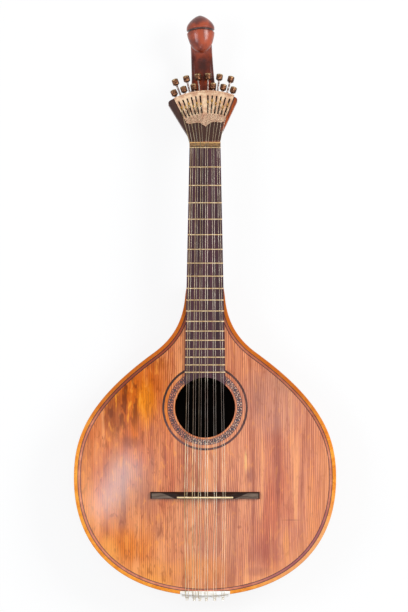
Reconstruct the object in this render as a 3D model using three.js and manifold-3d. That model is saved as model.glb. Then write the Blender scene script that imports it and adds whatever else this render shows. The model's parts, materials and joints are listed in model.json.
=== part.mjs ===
// A twelve-string Portuguese guitar with a fan tuner, built as its separate pieces.
// Units are millimetres. X runs to the treble side, Y from the bridge to the head, Z out of the soundboard.
// The origin lies on the back's outer face, on the centre line, straight under the bridge saddle.

import * as THREE from "three";
import { mergeVertices } from "three/addons/utils/BufferGeometryUtils.js";
import Module from "manifold-3d";

const wasm = await Module();
wasm.setup();

// Strings: six courses of two, bass side first
const SCALE_LENGTH = 445;
const BRIDGE_COMPENSATION = 3;
const SPREAD_AT_NUT = 33.2; // between the middles of the outer courses
const SPREAD_AT_BRIDGE = 49.2;
const PAIR_SPACING_AT_NUT = 2.5;
const PAIR_SPACING_AT_BRIDGE = 2.9;
const COURSE_AT_NUT_SHARES = [-1, -0.62, -0.24, 0.12, 0.6, 1];
const COURSE_AT_BRIDGE_SHARES = [-1, -0.6, -0.29, 0.07, 0.54, 1];
const BASS_STRING_DIAMETER = 0.9;
const TREBLE_STRING_DIAMETER = 0.4;
const OCTAVE_STRING_SHARE = 0.55; // the thin partner's share in the three wound courses
const WOUND_COURSES = 3;
const STRING_SIDES = 5;
const STRING_REST = 0.3; // between a string and what it rests on
const LOOP_TAIL = 0.6; // how far a string's end runs on past its loop
const LOOP_LANE_SHARES = [1, 3]; // of a lane, out from the tailpiece, for the two strings of a course

// Fit of glued and resting pieces
const SEAM = 0.1;
const OVERRUN = 5; // how far a cutter runs past what it cuts

// Body
const BODY_LENGTH = 394;
const BODY_WIDTH = 336;
const BODY_DEPTH = 74;
const BRIDGE_TO_TAIL = 126;
const NECK_END_WIDTH = 50.4;
const SOUNDBOARD_THICKNESS = 3;
const BACK_THICKNESS = 3;
const SIDE_THICKNESS = 2.5;
const SOUND_HOLE_RADIUS = 38.5;
const SOUND_HOLE_FROM_SADDLE = 115;
const ROSETTE_INNER_RADIUS = 41;
const ROSETTE_WIDTH = 7;
const ROSETTE_DEPTH = 1;
const ROUND_SEGMENTS = 42;

// The half outline runs from the neck end over the shoulder and the widest point to the tail
const SHOULDER_X_SHARE = 0.4; // of half the width
const SHOULDER_Y_SHARE = 0.787; // of the length, up from the tail
const SHOULDER_SLOPE = THREE.MathUtils.degToRad(36);
const WIDEST_Y_SHARE = 0.382; // of the length, up from the tail
const NECK_HANDLE_SHARE = 0.122; // the handles are shares of the length, the tail's of half the width
const SHOULDER_UP_HANDLE_SHARE = 0.06;
const SHOULDER_DOWN_HANDLE_SHARE = 0.2825;
const WIDEST_UP_HANDLE_SHARE = 0.115;
const WIDEST_DOWN_HANDLE_SHARE = 0.27;
const TAIL_HANDLE_SHARE = 0.516;
const ARC_STEPS = [8, 10, 12];
const CORNER_STEPS = 3;
const CURVE_STEPS = 3;

// Inside the body
const LINING_WIDTH = 5;
const LINING_HEIGHT = 7;
const NECK_BLOCK_LENGTH = 30;
const END_BLOCK_LENGTH = 16;
const END_BLOCK_WIDTH = 90;
const BRACE_WIDTH = 8;
const BRACE_HEIGHT = 13;
const LOWER_BRACE_FROM_HOLE = 18; // from the hole's edge to the middle of the brace
const UPPER_BRACE_SHARE = 0.21; // of the way from the hole's edge to the neck block
const BACK_BRACE_SPACING = 130;
const BACK_BRACE_FROM_SADDLE = 10;

// Neck and heel
const NECK_DEPTH_AT_NUT = 16;
const NECK_DEPTH_AT_HEEL = 19;
const NECK_ROUNDING_SHARE = 0.8; // below 1 the back of the neck is fuller than an ellipse
const NECK_SIDES = 14;
const HEEL_FOOT = 9; // how far the heel stands out of the body at the back
const HEEL_REACH = 30; // how much further it stands out under the neck
const HEEL_FOOT_WIDTH = 45;
const HEEL_REACH_SHARES = [0, 0, 0.01, 0.05, 0.13, 0.3, 0.57, 1]; // from the heel's foot up to the neck
const TONGUE_WIDTH = 20;
const TONGUE_REACH = 4;

// Fingerboard, frets and nut
const FINGERBOARD_WIDTH_AT_NUT = 39.9;
const FINGERBOARD_WIDTH_AT_HOLE = 52.2;
const FINGERBOARD_THICKNESS = 5;
const CAMBER_RADIUS = 250;
const CAMBER_STEPS = 4;
const FRET_COUNT = 18;
const FRET_WIDTH = 1.5;
const FRET_CROWN_SHARE = 0.45;
const FRET_HEIGHT = 0.9;
const BOARD_PAST_ZERO_FRET = 1.2;
const NUT_LENGTH = 5.7;
const NUT_ABOVE_STRING = 0.5;

// Bridge
const BRIDGE_LENGTH = 140;
const BRIDGE_FOOT_DEPTH = 8.8;
const BRIDGE_CREST_DEPTH = 3.6;
const BRIDGE_BACK_WALL = 0.6; // wood left behind the saddle
const BRIDGE_HEIGHT = 9.3;
const BRIDGE_WING_HEIGHT = 4;
const BRIDGE_WING_LENGTH = 25;
const BRIDGE_SWEEP_LENGTH = 9;
const BRIDGE_TOE = 2; // height of the upright edge under the sloping face
const BRIDGE_ARCH_HEIGHT = 1;
const BRIDGE_ARCH_LENGTH = 96;
const SADDLE_LENGTH = 72;
const SADDLE_THICKNESS = 2;
const SADDLE_SEAT = 3;
const SADDLE_RISE = 1.6;

// Tail
const TAIL_SADDLE_WIDTH = 64;
const TAIL_SADDLE_LENGTH = 6;
const TAIL_SADDLE_RISE = 0.8;
const TAIL_SADDLE_ROUNDING = 1.6;
const TAILPIECE_WIDTH = 60;
const TAILPIECE_HEIGHT = 13;
const TAILPIECE_THICKNESS = 3;
const TAILPIECE_DROP = 4.5; // from the soundboard's face down to the tailpiece
const TAIL_PIN_SPREAD = 46;
const TAIL_PIN_RADIUS = 1.1;
const TAIL_PIN_LENGTH = 3.4;
const TAIL_PIN_HEAD_RADIUS = 1.9;
const TAIL_PIN_HEAD_LENGTH = 1;
const TAIL_PIN_SIDES = 8;

// Head, hollowed for the fan tuner
const HEAD_TILT = THREE.MathUtils.degToRad(12);
const HEAD_LEAN = THREE.MathUtils.degToRad(3); // this hand-cut head leans to the bass side
const HEAD_THICKNESS_AT_NUT = 16;
const HEAD_THICKNESS = 20;
const HEAD_WIDTH_AT_TOP = 88;
const HEAD_LENGTH = 53; // to the outer corner of a cheek
const HEAD_FLARE_START = 11;
const HEAD_FLARE_WIDTH = 44; // the width where the straight flare starts
const HEAD_BEVEL_WIDTH = 5;
const HEAD_BEVEL_DEPTH = 3;
const HEAD_CORNER_RADIUS = 3;
const HEAD_BACK_ROUNDING = 8;
const HEAD_TOP_RADIUS = 95.5; // of the arc across the top, round the fan's centre
const CAVITY_FLOOR = 10.5;
const CAVITY_HALF_ANGLE = THREE.MathUtils.degToRad(23.3);

// Fan tuner: radii run from the point where the twelve screws would meet
const FAN_CENTRE_SETBACK = 28.6;
const FAN_OFFSET = 1.9; // the fan and the finial sit off the head's centre line, to the treble side
const MIDDLE_HALF_ANGLE = THREE.MathUtils.degToRad(3.2);
const SCREW_ANGLE = THREE.MathUtils.degToRad(3.65);
const PLATE_THICKNESS = 1.2;
const PLATE_OVERHANG = 1; // past the top of the head
const PLATE_HALF_ANGLE = THREE.MathUtils.degToRad(23.9);
const PLATE_FOOT_RADIUS = 59.5;
const PLATE_FOOT_HALF_WIDTH = 19.8;
const PLATE_FOOT_HEIGHT = 24.3; // from the nut's end of the head to the plate's lower corners
const PLATE_SCALLOP_HEIGHT = 25.7;
const PLATE_SCALLOP_X = 10.8;
const PLATE_TIP_HEIGHT = 19.8;
const SLOT_WIDTH = 2;
const SLOT_MARGIN = 1.7; // between the lower rail and a hook's block at the foot of its slot
const RAIL_THICKNESS = 2.6;
const RAIL_SET_IN = 1.2; // of the upper rail behind the plate's top edge
const LOWER_RAIL_RADIUS = 60.4;
const RAIL_DEPTH = 9.7;
const SCREW_DEPTH = 5; // screw axes under the head's face
const SCREW_RADIUS = 1.2;
const THREAD_CLEARANCE = 0.15;
const SCREW_SIDES = 8;
const COLLAR_RADIUS = 1.9;
const COLLAR_LENGTH = 1.2;
const SHORT_KNOB_STANDOFF = 2.6; // from the plate's top edge to the knobs of the short screws
const LONG_KNOB_STEP = 12.5; // how much further out the long screws' knobs are
const KNOB_CLEARANCE = 1.3; // between the knobs and the finial's shaft behind them
const KNOB_HUB_RADIUS = 2.4;
const KNOB_HUB_LENGTH = 1;
const KNOB_RADIUS = 4.2;
const KNOB_FLUTE_DEPTH = 0.35;
const KNOB_LENGTH = 8.2;
const KNOB_CHAMFER = 0.8;
const KNOB_DOME = 0.7;
const KNOB_FLUTES = 8;
const LONG_SCREWS = [1, 3, 5, 6, 8, 10];

// Hooks that ride on the screws
const HOOK_BLOCK_WIDTH = 3.4;
const HOOK_BLOCK_LENGTH = 5;
const HOOK_BLOCK_HEIGHT = 4.6;
const HOOK_STEM_WIDTH = 1.3;
const HOOK_STEM_LENGTH = 2.4;
const HOOK_HEIGHT = 3.2; // above the plate
const HOOK_LIP_LENGTH = 1.4;
const HOOK_LIP_THICKNESS = 1.1;
const HOOK_REST_SHARES = [0.58, 0.5, 0.64, 0.42, 0.55, 0.47, 0.6, 0.7, 0.52, 0.66, 0.4, 0.62];

// Finial: stations of its shaft along the head, then the drop that hangs from its end
const FINIAL_LENGTH = 165.3; // from the nut's end of the head to the tip
const SHAFT_NARROW_WIDTH = 27.4;
const SHAFT_ROOT_WIDTH = 34;
const SHAFT_ROOT_DEPTH = 9; // how far the shaft is rooted in the head block
const SHAFT_THICKNESS = 16;
const SHAFT_SIDES = 16;
const SHAFT_FLUTE_DEPTH = 1.6;
const SHAFT_LOW_SHARES = [0, 0.33, 0.67, 1]; // of the way from the root to the end of the knobs
const SHAFT_DIP_SHARES = [0, 0.85, 1.08, 1]; // of the drop in level on that way
const SHAFT_RISE_SHARES = [0.28, 0.52, 0.76, 1]; // of the way from there into the drop
const SHAFT_LIFT_SHARES = [0.15, 0.43, 0.74, 0.98]; // of the climb on that way
const SHAFT_FLARE_SHARES = [1, 0.86, 0.45, 0.23, 0.08, 0, 0, 0]; // between narrow and root width
const SHAFT_SLIM_SHARES = [0.5, 0.9, 1, 1, 1, 1, 0.95, 0.8]; // of the thickness
const SHAFT_END_SHARE = 0.6; // of the drop's length, where the shaft ends inside it
const DROP_LENGTH = 50;
const DROP_RADIUS = 17.6;
const DROP_FLATNESS_SHARE = 0.84;
const DROP_FORWARD = 9;
const DROP_GROOVE_SHARE = 0.585;
const DROP_GROOVE_DEPTH = 1.3;
const DROP_GROOVE_HALF_WIDTH = 1.2;
const DROP_SIDES = 20;
const DROP_HEIGHT_SHARES = [0.03, 0.09, 0.17, 0.26, 0.36, 0.46]; // below the groove
const DROP_RADIUS_SHARES = [0.24, 0.5, 0.69, 0.81, 0.9, 0.97];
const CAP_HEIGHT_SHARES = [0.67, 0.74, 0.81, 0.89, 0.96]; // above the groove
const CAP_RADIUS_SHARES = [1, 0.93, 0.79, 0.57, 0.28];

// Levels and places that follow from the sizes
const jointY = BODY_LENGTH - BRIDGE_TO_TAIL;
const tailY = -BRIDGE_TO_TAIL;
const zeroFretY = SCALE_LENGTH + BRIDGE_COMPENSATION;
const boardEndY = zeroFretY + BOARD_PAST_ZERO_FRET;
const headStartY = boardEndY + SEAM + NUT_LENGTH;
const soundboardUnderside = BODY_DEPTH - SOUNDBOARD_THICKNESS;
const boardBottom = BODY_DEPTH + SEAM;
const boardTop = boardBottom + FINGERBOARD_THICKNESS;
const fretTop = boardTop + FRET_HEIGHT;
const bridgeBottom = BODY_DEPTH + SEAM;
const saddleTop = bridgeBottom + BRIDGE_HEIGHT + SADDLE_RISE;
const plateBottom = SEAM;
const plateTop = plateBottom + PLATE_THICKNESS;
const stringCount = 2 * COURSE_AT_NUT_SHARES.length;
const half = (size) => size / 2;

// Materials
const finish = (color, roughness, metalness = 0) =>
  new THREE.MeshStandardMaterial({ color, roughness, metalness });
const spruce = finish(0xc8763c, 0.35);
const walnut = finish(0x9a4f22, 0.35);
const cedar = finish(0xc9a06c, 0.7);
const redwood = finish(0x7a3018, 0.3);
const rosewood = finish(0x3c2624, 0.45);
const bone = finish(0xe9dcc4, 0.5);
const mosaic = finish(0x5a3a2c, 0.4);
const nutBrass = finish(0xa5793c, 0.4, 0.8);
const plateMetal = finish(0xd9c2a0, 0.35, 0.7);
const railBrass = finish(0x9c7a45, 0.4, 0.9);
const screwBronze = finish(0x6b4a2e, 0.4, 0.9);
const hookBrass = finish(0xb8924f, 0.35, 0.9);
const stringSteel = finish(0xc9c2b4, 0.3, 1);

// A closed geometry as a solid that can be joined and cut
function solidOf(geometry) {
  const bare = geometry.index ? geometry.toNonIndexed() : geometry.clone();
  bare.deleteAttribute("normal");
  bare.deleteAttribute("uv");
  const merged = mergeVertices(bare);
  const mesh = new wasm.Mesh({
    numProp: 3,
    vertProperties: merged.attributes.position.array,
    triVerts: new Uint32Array(merged.index.array),
  });
  return new wasm.Manifold(mesh);
}

function geometryOf(solid) {
  const mesh = solid.getMesh();
  const geometry = new THREE.BufferGeometry();
  geometry.setAttribute("position", new THREE.BufferAttribute(mesh.vertProperties, mesh.numProp));
  geometry.setIndex(new THREE.BufferAttribute(mesh.triVerts, 1));
  const faceted = geometry.toNonIndexed();
  faceted.computeVertexNormals();
  return faceted;
}

const joined = (solids) => solids.reduce((whole, next) => whole.add(next));
const cutBy = (solid, cutters) => cutters.reduce((rest, next) => rest.subtract(next), solid);

// A block between two corners
function block(low, high) {
  const size = new THREE.Vector3().subVectors(high, low);
  const middle = new THREE.Vector3().addVectors(low, high).multiplyScalar(1 / 2);
  const geometry = new THREE.BoxGeometry(size.x, size.y, size.z);
  return solidOf(geometry.translate(middle.x, middle.y, middle.z));
}

// An outline in the XY plane, extruded between two levels
function prism(outline, low, high) {
  const shape = outline instanceof THREE.Shape ? outline : new THREE.Shape(outline);
  const geometry = new THREE.ExtrudeGeometry(shape, { depth: high - low, bevelEnabled: false });
  return solidOf(geometry.translate(0, 0, low));
}

// A profile drawn in the YZ plane, extruded along X between two places
function profileAlongX(profile, low, high) {
  const shape = new THREE.Shape(profile);
  const geometry = new THREE.ExtrudeGeometry(shape, { depth: high - low, bevelEnabled: false });
  geometry.rotateX(Math.PI / 2);
  geometry.rotateZ(Math.PI / 2);
  return solidOf(geometry.translate(low, 0, 0));
}

// A profile drawn in the XZ plane, extruded along Y between two places
function profileAlongY(profile, low, high) {
  const shape = new THREE.Shape(profile);
  const geometry = new THREE.ExtrudeGeometry(shape, { depth: high - low, bevelEnabled: false });
  geometry.rotateX(Math.PI / 2);
  return solidOf(geometry.translate(0, high, 0));
}

function roundBar(radius, low, high, sides) {
  const geometry = new THREE.CylinderGeometry(radius, radius, high - low, sides);
  return solidOf(geometry.translate(0, (low + high) / 2, 0));
}

// An upright disc between two levels, round a point of the XY plane
function disc(radius, x, y, low, high, sides = ROUND_SEGMENTS) {
  const geometry = new THREE.CylinderGeometry(radius, radius, high - low, sides);
  geometry.rotateX(Math.PI / 2);
  return solidOf(geometry.translate(x, y, (low + high) / 2));
}

// A many-sided hole that a round bar of the given radius turns in without touching
const boreRadius = (radius, sides) => radius / Math.cos(Math.PI / sides);

// A skin over rings of equal count, closed by a fan at each end and turned to face out
function loft(rings) {
  const count = rings[0].length;
  const middleOf = (ring) => ring.reduce((sum, p) => sum.add(p), new THREE.Vector3()).divideScalar(count);
  const points = [...rings.flat(), middleOf(rings[0]), middleOf(rings.at(-1))];
  const startHub = rings.length * count;
  const endHub = startHub + 1;
  const faces = [];
  for (let k = 0; k < count; k++) {
    const next = (k + 1) % count;
    for (let i = 0; i + 1 < rings.length; i++) {
      const [a, b] = [i * count + k, i * count + next];
      faces.push([a, b, b + count], [a, b + count, a + count]);
    }
    const last = startHub - count;
    faces.push([startHub, next, k], [endHub, last + k, last + next]);
  }
  const triple = new THREE.Vector3();
  const volume = faces.reduce(
    (sum, [a, b, c]) => sum + points[a].dot(triple.crossVectors(points[b], points[c])),
    0,
  );
  const index = faces.flatMap(([a, b, c]) => (volume > 0 ? [a, b, c] : [a, c, b]));
  const geometry = new THREE.BufferGeometry().setFromPoints(points);
  geometry.setIndex(index);
  return geometry;
}

// A round tube through a list of points
function tube(points, radius, sides) {
  const last = points.length - 1;
  const direction = (i) =>
    new THREE.Vector3().subVectors(points[Math.min(i + 1, last)], points[Math.max(i - 1, 0)]).normalize();
  const across = new THREE.Vector3(0, 0, 1).cross(direction(0)).normalize();
  const rings = points.map((point, i) => {
    const tangent = direction(i);
    across.addScaledVector(tangent, -across.dot(tangent)).normalize();
    const up = new THREE.Vector3().crossVectors(tangent, across);
    return Array.from({ length: sides }, (_, k) => {
      const turn = (2 * Math.PI * k) / sides;
      return point
        .clone()
        .addScaledVector(across, radius * Math.cos(turn))
        .addScaledVector(up, radius * Math.sin(turn));
    });
  });
  return loft(rings);
}

// Groups: the head leans back, the fan sits on it, and each tuner lies on its own ray
const guitar = new THREE.Group();
const head = new THREE.Group();
head.position.set(0, headStartY, BODY_DEPTH);
head.rotation.set(-HEAD_TILT, 0, HEAD_LEAN);
guitar.add(head);
const fan = new THREE.Group();
fan.position.set(FAN_OFFSET, -FAN_CENTRE_SETBACK, 0);
head.add(fan);
guitar.updateMatrixWorld(true);

function addPart(name, shape, material, parent = guitar) {
  const geometry = shape instanceof THREE.BufferGeometry ? shape : geometryOf(shape);
  const mesh = new THREE.Mesh(geometry, material);
  mesh.name = name;
  parent.add(mesh);
  return mesh;
}

// Body outline
const halfWidth = half(BODY_WIDTH);
const outlineArcs = (() => {
  const up = new THREE.Vector2(0, BODY_LENGTH);
  const slope = new THREE.Vector2(BODY_LENGTH, 0).rotateAround(new THREE.Vector2(), -SHOULDER_SLOPE);
  const neckEnd = new THREE.Vector2(half(NECK_END_WIDTH), jointY);
  const shoulder = new THREE.Vector2(SHOULDER_X_SHARE * halfWidth, tailY + SHOULDER_Y_SHARE * BODY_LENGTH);
  const widest = new THREE.Vector2(halfWidth, tailY + WIDEST_Y_SHARE * BODY_LENGTH);
  const tail = new THREE.Vector2(0, tailY);
  const handle = (from, direction, share) => from.clone().addScaledVector(direction, share);
  return [
    new THREE.CubicBezierCurve(
      neckEnd,
      handle(neckEnd, up, -NECK_HANDLE_SHARE),
      handle(shoulder, slope, -SHOULDER_UP_HANDLE_SHARE),
      shoulder,
    ),
    new THREE.CubicBezierCurve(
      shoulder,
      handle(shoulder, slope, SHOULDER_DOWN_HANDLE_SHARE),
      handle(widest, up, WIDEST_UP_HANDLE_SHARE),
      widest,
    ),
    new THREE.CubicBezierCurve(
      widest,
      handle(widest, up, -WIDEST_DOWN_HANDLE_SHARE),
      new THREE.Vector2(TAIL_HANDLE_SHARE * halfWidth, tailY),
      tail,
    ),
  ];
})();

// The treble half of the outline, drawn in by an inset, from the neck end to the tail
function halfOutline(inset) {
  const points = outlineArcs.flatMap((arc, n) => {
    const first = n === 0 ? 0 : 1;
    return Array.from({ length: ARC_STEPS[n] + 1 - first }, (_, i) => {
      const t = (i + first) / ARC_STEPS[n];
      const tangent = arc.getTangent(t);
      return arc.getPoint(t).add(new THREE.Vector2(tangent.y, -tangent.x).multiplyScalar(inset));
    });
  });
  points[0].y = jointY;
  points.at(-1).x = 0;
  return points;
}

const mirrored = (points) => points.map((p) => new THREE.Vector2(-p.x, p.y)).reverse();
const wholeOutline = (inset) => [...halfOutline(inset), ...mirrored(halfOutline(inset)).slice(1)];

// The outline's lower edge at a given X near the tail
function tailEdgeAt(x) {
  const points = halfOutline(0);
  const i = points.findLastIndex((p) => p.x >= Math.abs(x));
  const [a, b] = [points[i], points[Math.min(i + 1, points.length - 1)]];
  const t = a.x === b.x ? 0 : (a.x - Math.abs(x)) / (a.x - b.x);
  return THREE.MathUtils.lerp(a.y, b.y, t);
}

// Soundboard, back and sides
function makeSoundboard() {
  const board = prism(wholeOutline(0), soundboardUnderside, BODY_DEPTH);
  const holeY = SOUND_HOLE_FROM_SADDLE;
  const hole = disc(SOUND_HOLE_RADIUS, 0, holeY, soundboardUnderside - OVERRUN, BODY_DEPTH + OVERRUN);
  const recessFloor = BODY_DEPTH - ROSETTE_DEPTH - SEAM;
  const outer = ROSETTE_INNER_RADIUS + ROSETTE_WIDTH + SEAM;
  const recess = disc(outer, 0, holeY, recessFloor, BODY_DEPTH + OVERRUN).subtract(
    disc(ROSETTE_INNER_RADIUS - SEAM, 0, holeY, recessFloor - OVERRUN, BODY_DEPTH + OVERRUN + OVERRUN),
  );
  const notchSide = half(TAIL_SADDLE_WIDTH) + SEAM;
  const notch = block(
    new THREE.Vector3(-notchSide, tailY - OVERRUN, soundboardUnderside - OVERRUN),
    new THREE.Vector3(notchSide, tailY + TAIL_SADDLE_LENGTH + SEAM, BODY_DEPTH + OVERRUN),
  );
  return cutBy(board, [hole, recess, notch]);
}

function makeRosette() {
  const [low, high] = [BODY_DEPTH - ROSETTE_DEPTH, BODY_DEPTH];
  const inside = disc(ROSETTE_INNER_RADIUS, 0, SOUND_HOLE_FROM_SADDLE, low - OVERRUN, high + OVERRUN);
  return disc(ROSETTE_INNER_RADIUS + ROSETTE_WIDTH, 0, SOUND_HOLE_FROM_SADDLE, low, high).subtract(inside);
}

// One half of a band that follows the outline, on the treble side or the bass side
function band(outerInset, innerInset, low, high, bassSide) {
  const loop = [...halfOutline(outerInset), ...halfOutline(innerInset).reverse()];
  return prism(bassSide ? mirrored(loop) : loop, low, high);
}

addPart("soundboard", makeSoundboard(), spruce);
addPart("rosette_ring", makeRosette(), mosaic);
addPart("back", prism(wholeOutline(0), 0, BACK_THICKNESS), walnut);
for (const [name, bassSide] of [["side_bass", true], ["side_treble", false]]) {
  const [low, high] = [BACK_THICKNESS + SEAM, soundboardUnderside - SEAM];
  addPart(name, band(0, SIDE_THICKNESS, low, high, bassSide), walnut);
}

// Blocks, linings and braces
const sideInset = SIDE_THICKNESS + SEAM;
const liningInset = sideInset + LINING_WIDTH;
const insideLow = BACK_THICKNESS + SEAM;
const insideHigh = soundboardUnderside - SEAM;

function makeEndBlock() {
  const room = prism(wholeOutline(sideInset), insideLow, insideHigh);
  const limits = block(
    new THREE.Vector3(-half(END_BLOCK_WIDTH), tailY - OVERRUN, insideLow - OVERRUN),
    new THREE.Vector3(half(END_BLOCK_WIDTH), tailY + sideInset + END_BLOCK_LENGTH, insideHigh + OVERRUN),
  );
  return room.intersect(limits);
}

function makeLining(low, high, bassSide) {
  const strip = band(sideInset, liningInset, low, high, bassSide);
  const atNeck = block(
    new THREE.Vector3(-BODY_WIDTH, jointY - NECK_BLOCK_LENGTH - SEAM, low - OVERRUN),
    new THREE.Vector3(BODY_WIDTH, jointY + OVERRUN, high + OVERRUN),
  );
  const blockSide = half(END_BLOCK_WIDTH) + SEAM;
  const atTail = block(
    new THREE.Vector3(-blockSide, tailY - OVERRUN, low - OVERRUN),
    new THREE.Vector3(blockSide, 0, high + OVERRUN),
  );
  return cutBy(strip, [atNeck, atTail]);
}

// A bar across the body that ends at the linings
function makeBrace(y, low, high) {
  const room = prism(wholeOutline(liningInset + SEAM), low, high);
  return room.intersect(
    block(
      new THREE.Vector3(-BODY_WIDTH, y - half(BRACE_WIDTH), low - OVERRUN),
      new THREE.Vector3(BODY_WIDTH, y + half(BRACE_WIDTH), high + OVERRUN),
    ),
  );
}

addPart("end_block", makeEndBlock(), cedar);
for (const [side, bassSide] of [["bass", true], ["treble", false]]) {
  addPart(`lining_top_${side}`, makeLining(insideHigh - LINING_HEIGHT, insideHigh, bassSide), cedar);
  addPart(`lining_back_${side}`, makeLining(insideLow, insideLow + LINING_HEIGHT, bassSide), cedar);
}
const holeTopY = SOUND_HOLE_FROM_SADDLE + SOUND_HOLE_RADIUS;
const soundboardBraces = {
  upper: THREE.MathUtils.lerp(holeTopY, jointY - NECK_BLOCK_LENGTH, UPPER_BRACE_SHARE),
  lower: SOUND_HOLE_FROM_SADDLE - SOUND_HOLE_RADIUS - LOWER_BRACE_FROM_HOLE,
};
for (const [name, y] of Object.entries(soundboardBraces)) {
  addPart(`soundboard_brace_${name}`, makeBrace(y, insideHigh - BRACE_HEIGHT, insideHigh), cedar);
}
const backBraces = {
  upper: BACK_BRACE_FROM_SADDLE + BACK_BRACE_SPACING,
  lower: BACK_BRACE_FROM_SADDLE,
};
for (const [name, y] of Object.entries(backBraces)) {
  addPart(`back_brace_${name}`, makeBrace(y, insideLow, insideLow + BRACE_HEIGHT), cedar);
}

// Fingerboard: a cambered taper whose end is scooped to the sound hole's edge
const boardFootY = holeTopY;
const camber = (x) => (x * x) / (2 * CAMBER_RADIUS);

function boardHalfWidthAt(y) {
  const t = (zeroFretY - y) / (zeroFretY - boardFootY);
  return half(THREE.MathUtils.lerp(FINGERBOARD_WIDTH_AT_NUT, FINGERBOARD_WIDTH_AT_HOLE, t));
}

// A section across the board whose top is lifted to a fret's crown or not
function boardSection(y, lift) {
  const w = boardHalfWidthAt(y);
  const top = Array.from({ length: CAMBER_STEPS + 1 }, (_, i) => {
    const x = w - (2 * w * i) / CAMBER_STEPS;
    return new THREE.Vector3(x, y, boardTop - camber(x) + lift);
  });
  return [new THREE.Vector3(-w, y, boardBottom), new THREE.Vector3(w, y, boardBottom), ...top];
}

const fretY = (n) => zeroFretY - SCALE_LENGTH * (1 - 2 ** (-n / 12));

// The frets are set into the board's top and stay one solid with it
function makeFingerboard() {
  const footY = boardFootY - boardHalfWidthAt(boardFootY);
  const foot = half(FRET_WIDTH);
  const crown = foot * FRET_CROWN_SHARE;
  const frets = Array.from({ length: FRET_COUNT + 1 }, (_, n) => fretY(FRET_COUNT - n));
  const sections = frets.flatMap((y) => [
    boardSection(y - foot, 0),
    boardSection(y - crown, FRET_HEIGHT),
    boardSection(y + crown, FRET_HEIGHT),
    boardSection(y + foot, 0),
  ]);
  const blank = solidOf(loft([boardSection(footY, 0), ...sections, boardSection(boardEndY, 0)]));
  const scoop = disc(SOUND_HOLE_RADIUS, 0, SOUND_HOLE_FROM_SADDLE, BODY_DEPTH - OVERRUN, boardTop + OVERRUN);
  const below = block(
    new THREE.Vector3(-BODY_WIDTH, footY - OVERRUN, BODY_DEPTH - OVERRUN),
    new THREE.Vector3(BODY_WIDTH, SOUND_HOLE_FROM_SADDLE + half(SOUND_HOLE_RADIUS), boardTop + OVERRUN),
  );
  return cutBy(blank, [scoop, below]);
}

addPart("fingerboard", makeFingerboard(), rosewood);

// Places of the strings
function courseX(shares, spread, spacing, i) {
  const course = Math.floor(i / 2);
  const side = i % 2 === 0 ? -1 : 1;
  return half(spread) * shares[course] + side * half(spacing);
}
const nutX = (i) => courseX(COURSE_AT_NUT_SHARES, SPREAD_AT_NUT, PAIR_SPACING_AT_NUT, i);
const bridgeX = (i) => courseX(COURSE_AT_BRIDGE_SHARES, SPREAD_AT_BRIDGE, PAIR_SPACING_AT_BRIDGE, i);
const pinX = (i) => half(TAIL_PIN_SPREAD) * COURSE_AT_BRIDGE_SHARES[Math.floor(i / 2)];

function stringRadius(i) {
  const course = Math.floor(i / 2);
  const t = course / (COURSE_AT_NUT_SHARES.length - 1);
  const diameter = THREE.MathUtils.lerp(BASS_STRING_DIAMETER, TREBLE_STRING_DIAMETER, t);
  return half(diameter) * (course < WOUND_COURSES && i % 2 === 1 ? OCTAVE_STRING_SHARE : 1);
}

// Tuners: each has a group whose Y axis is its screw's
function tunerAngle(i) {
  const fromMiddle = i < stringCount / 2 ? stringCount / 2 - 1 - i : i - stringCount / 2;
  const angle = MIDDLE_HALF_ANGLE + fromMiddle * SCREW_ANGLE;
  return i < stringCount / 2 ? -angle : angle;
}

const tuners = Array.from({ length: stringCount }, (_, i) => {
  const tuner = new THREE.Group();
  tuner.rotation.z = -tunerAngle(i);
  fan.add(tuner);
  tuner.updateMatrixWorld(true);
  return tuner;
});

const plateTopRadius = HEAD_TOP_RADIUS + PLATE_OVERHANG;
const upperRailRadius = plateTopRadius - RAIL_SET_IN - RAIL_THICKNESS;
const shortKnobRadius = plateTopRadius + SHORT_KNOB_STANDOFF;
const longKnobRadius = shortKnobRadius + LONG_KNOB_STEP;
const collarTop = upperRailRadius - THREAD_CLEARANCE;
const collarFoot = collarTop - COLLAR_LENGTH;
const blockPastStem = half(HOOK_BLOCK_LENGTH) - half(HOOK_STEM_LENGTH);
const slotInnerRadius = LOWER_RAIL_RADIUS + RAIL_THICKNESS + blockPastStem + SLOT_MARGIN;
const slotOuterRadius = collarFoot - blockPastStem;
const stemTravelLow = slotInnerRadius + half(HOOK_STEM_LENGTH) + STRING_REST;
const stemTravelHigh = slotOuterRadius - half(HOOK_STEM_LENGTH) - STRING_REST;
const hookRestRadius = (i) => THREE.MathUtils.lerp(stemTravelLow, stemTravelHigh, HOOK_REST_SHARES[i]);

const boreInRail = boreRadius(SCREW_RADIUS + THREAD_CLEARANCE, SCREW_SIDES);

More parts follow.
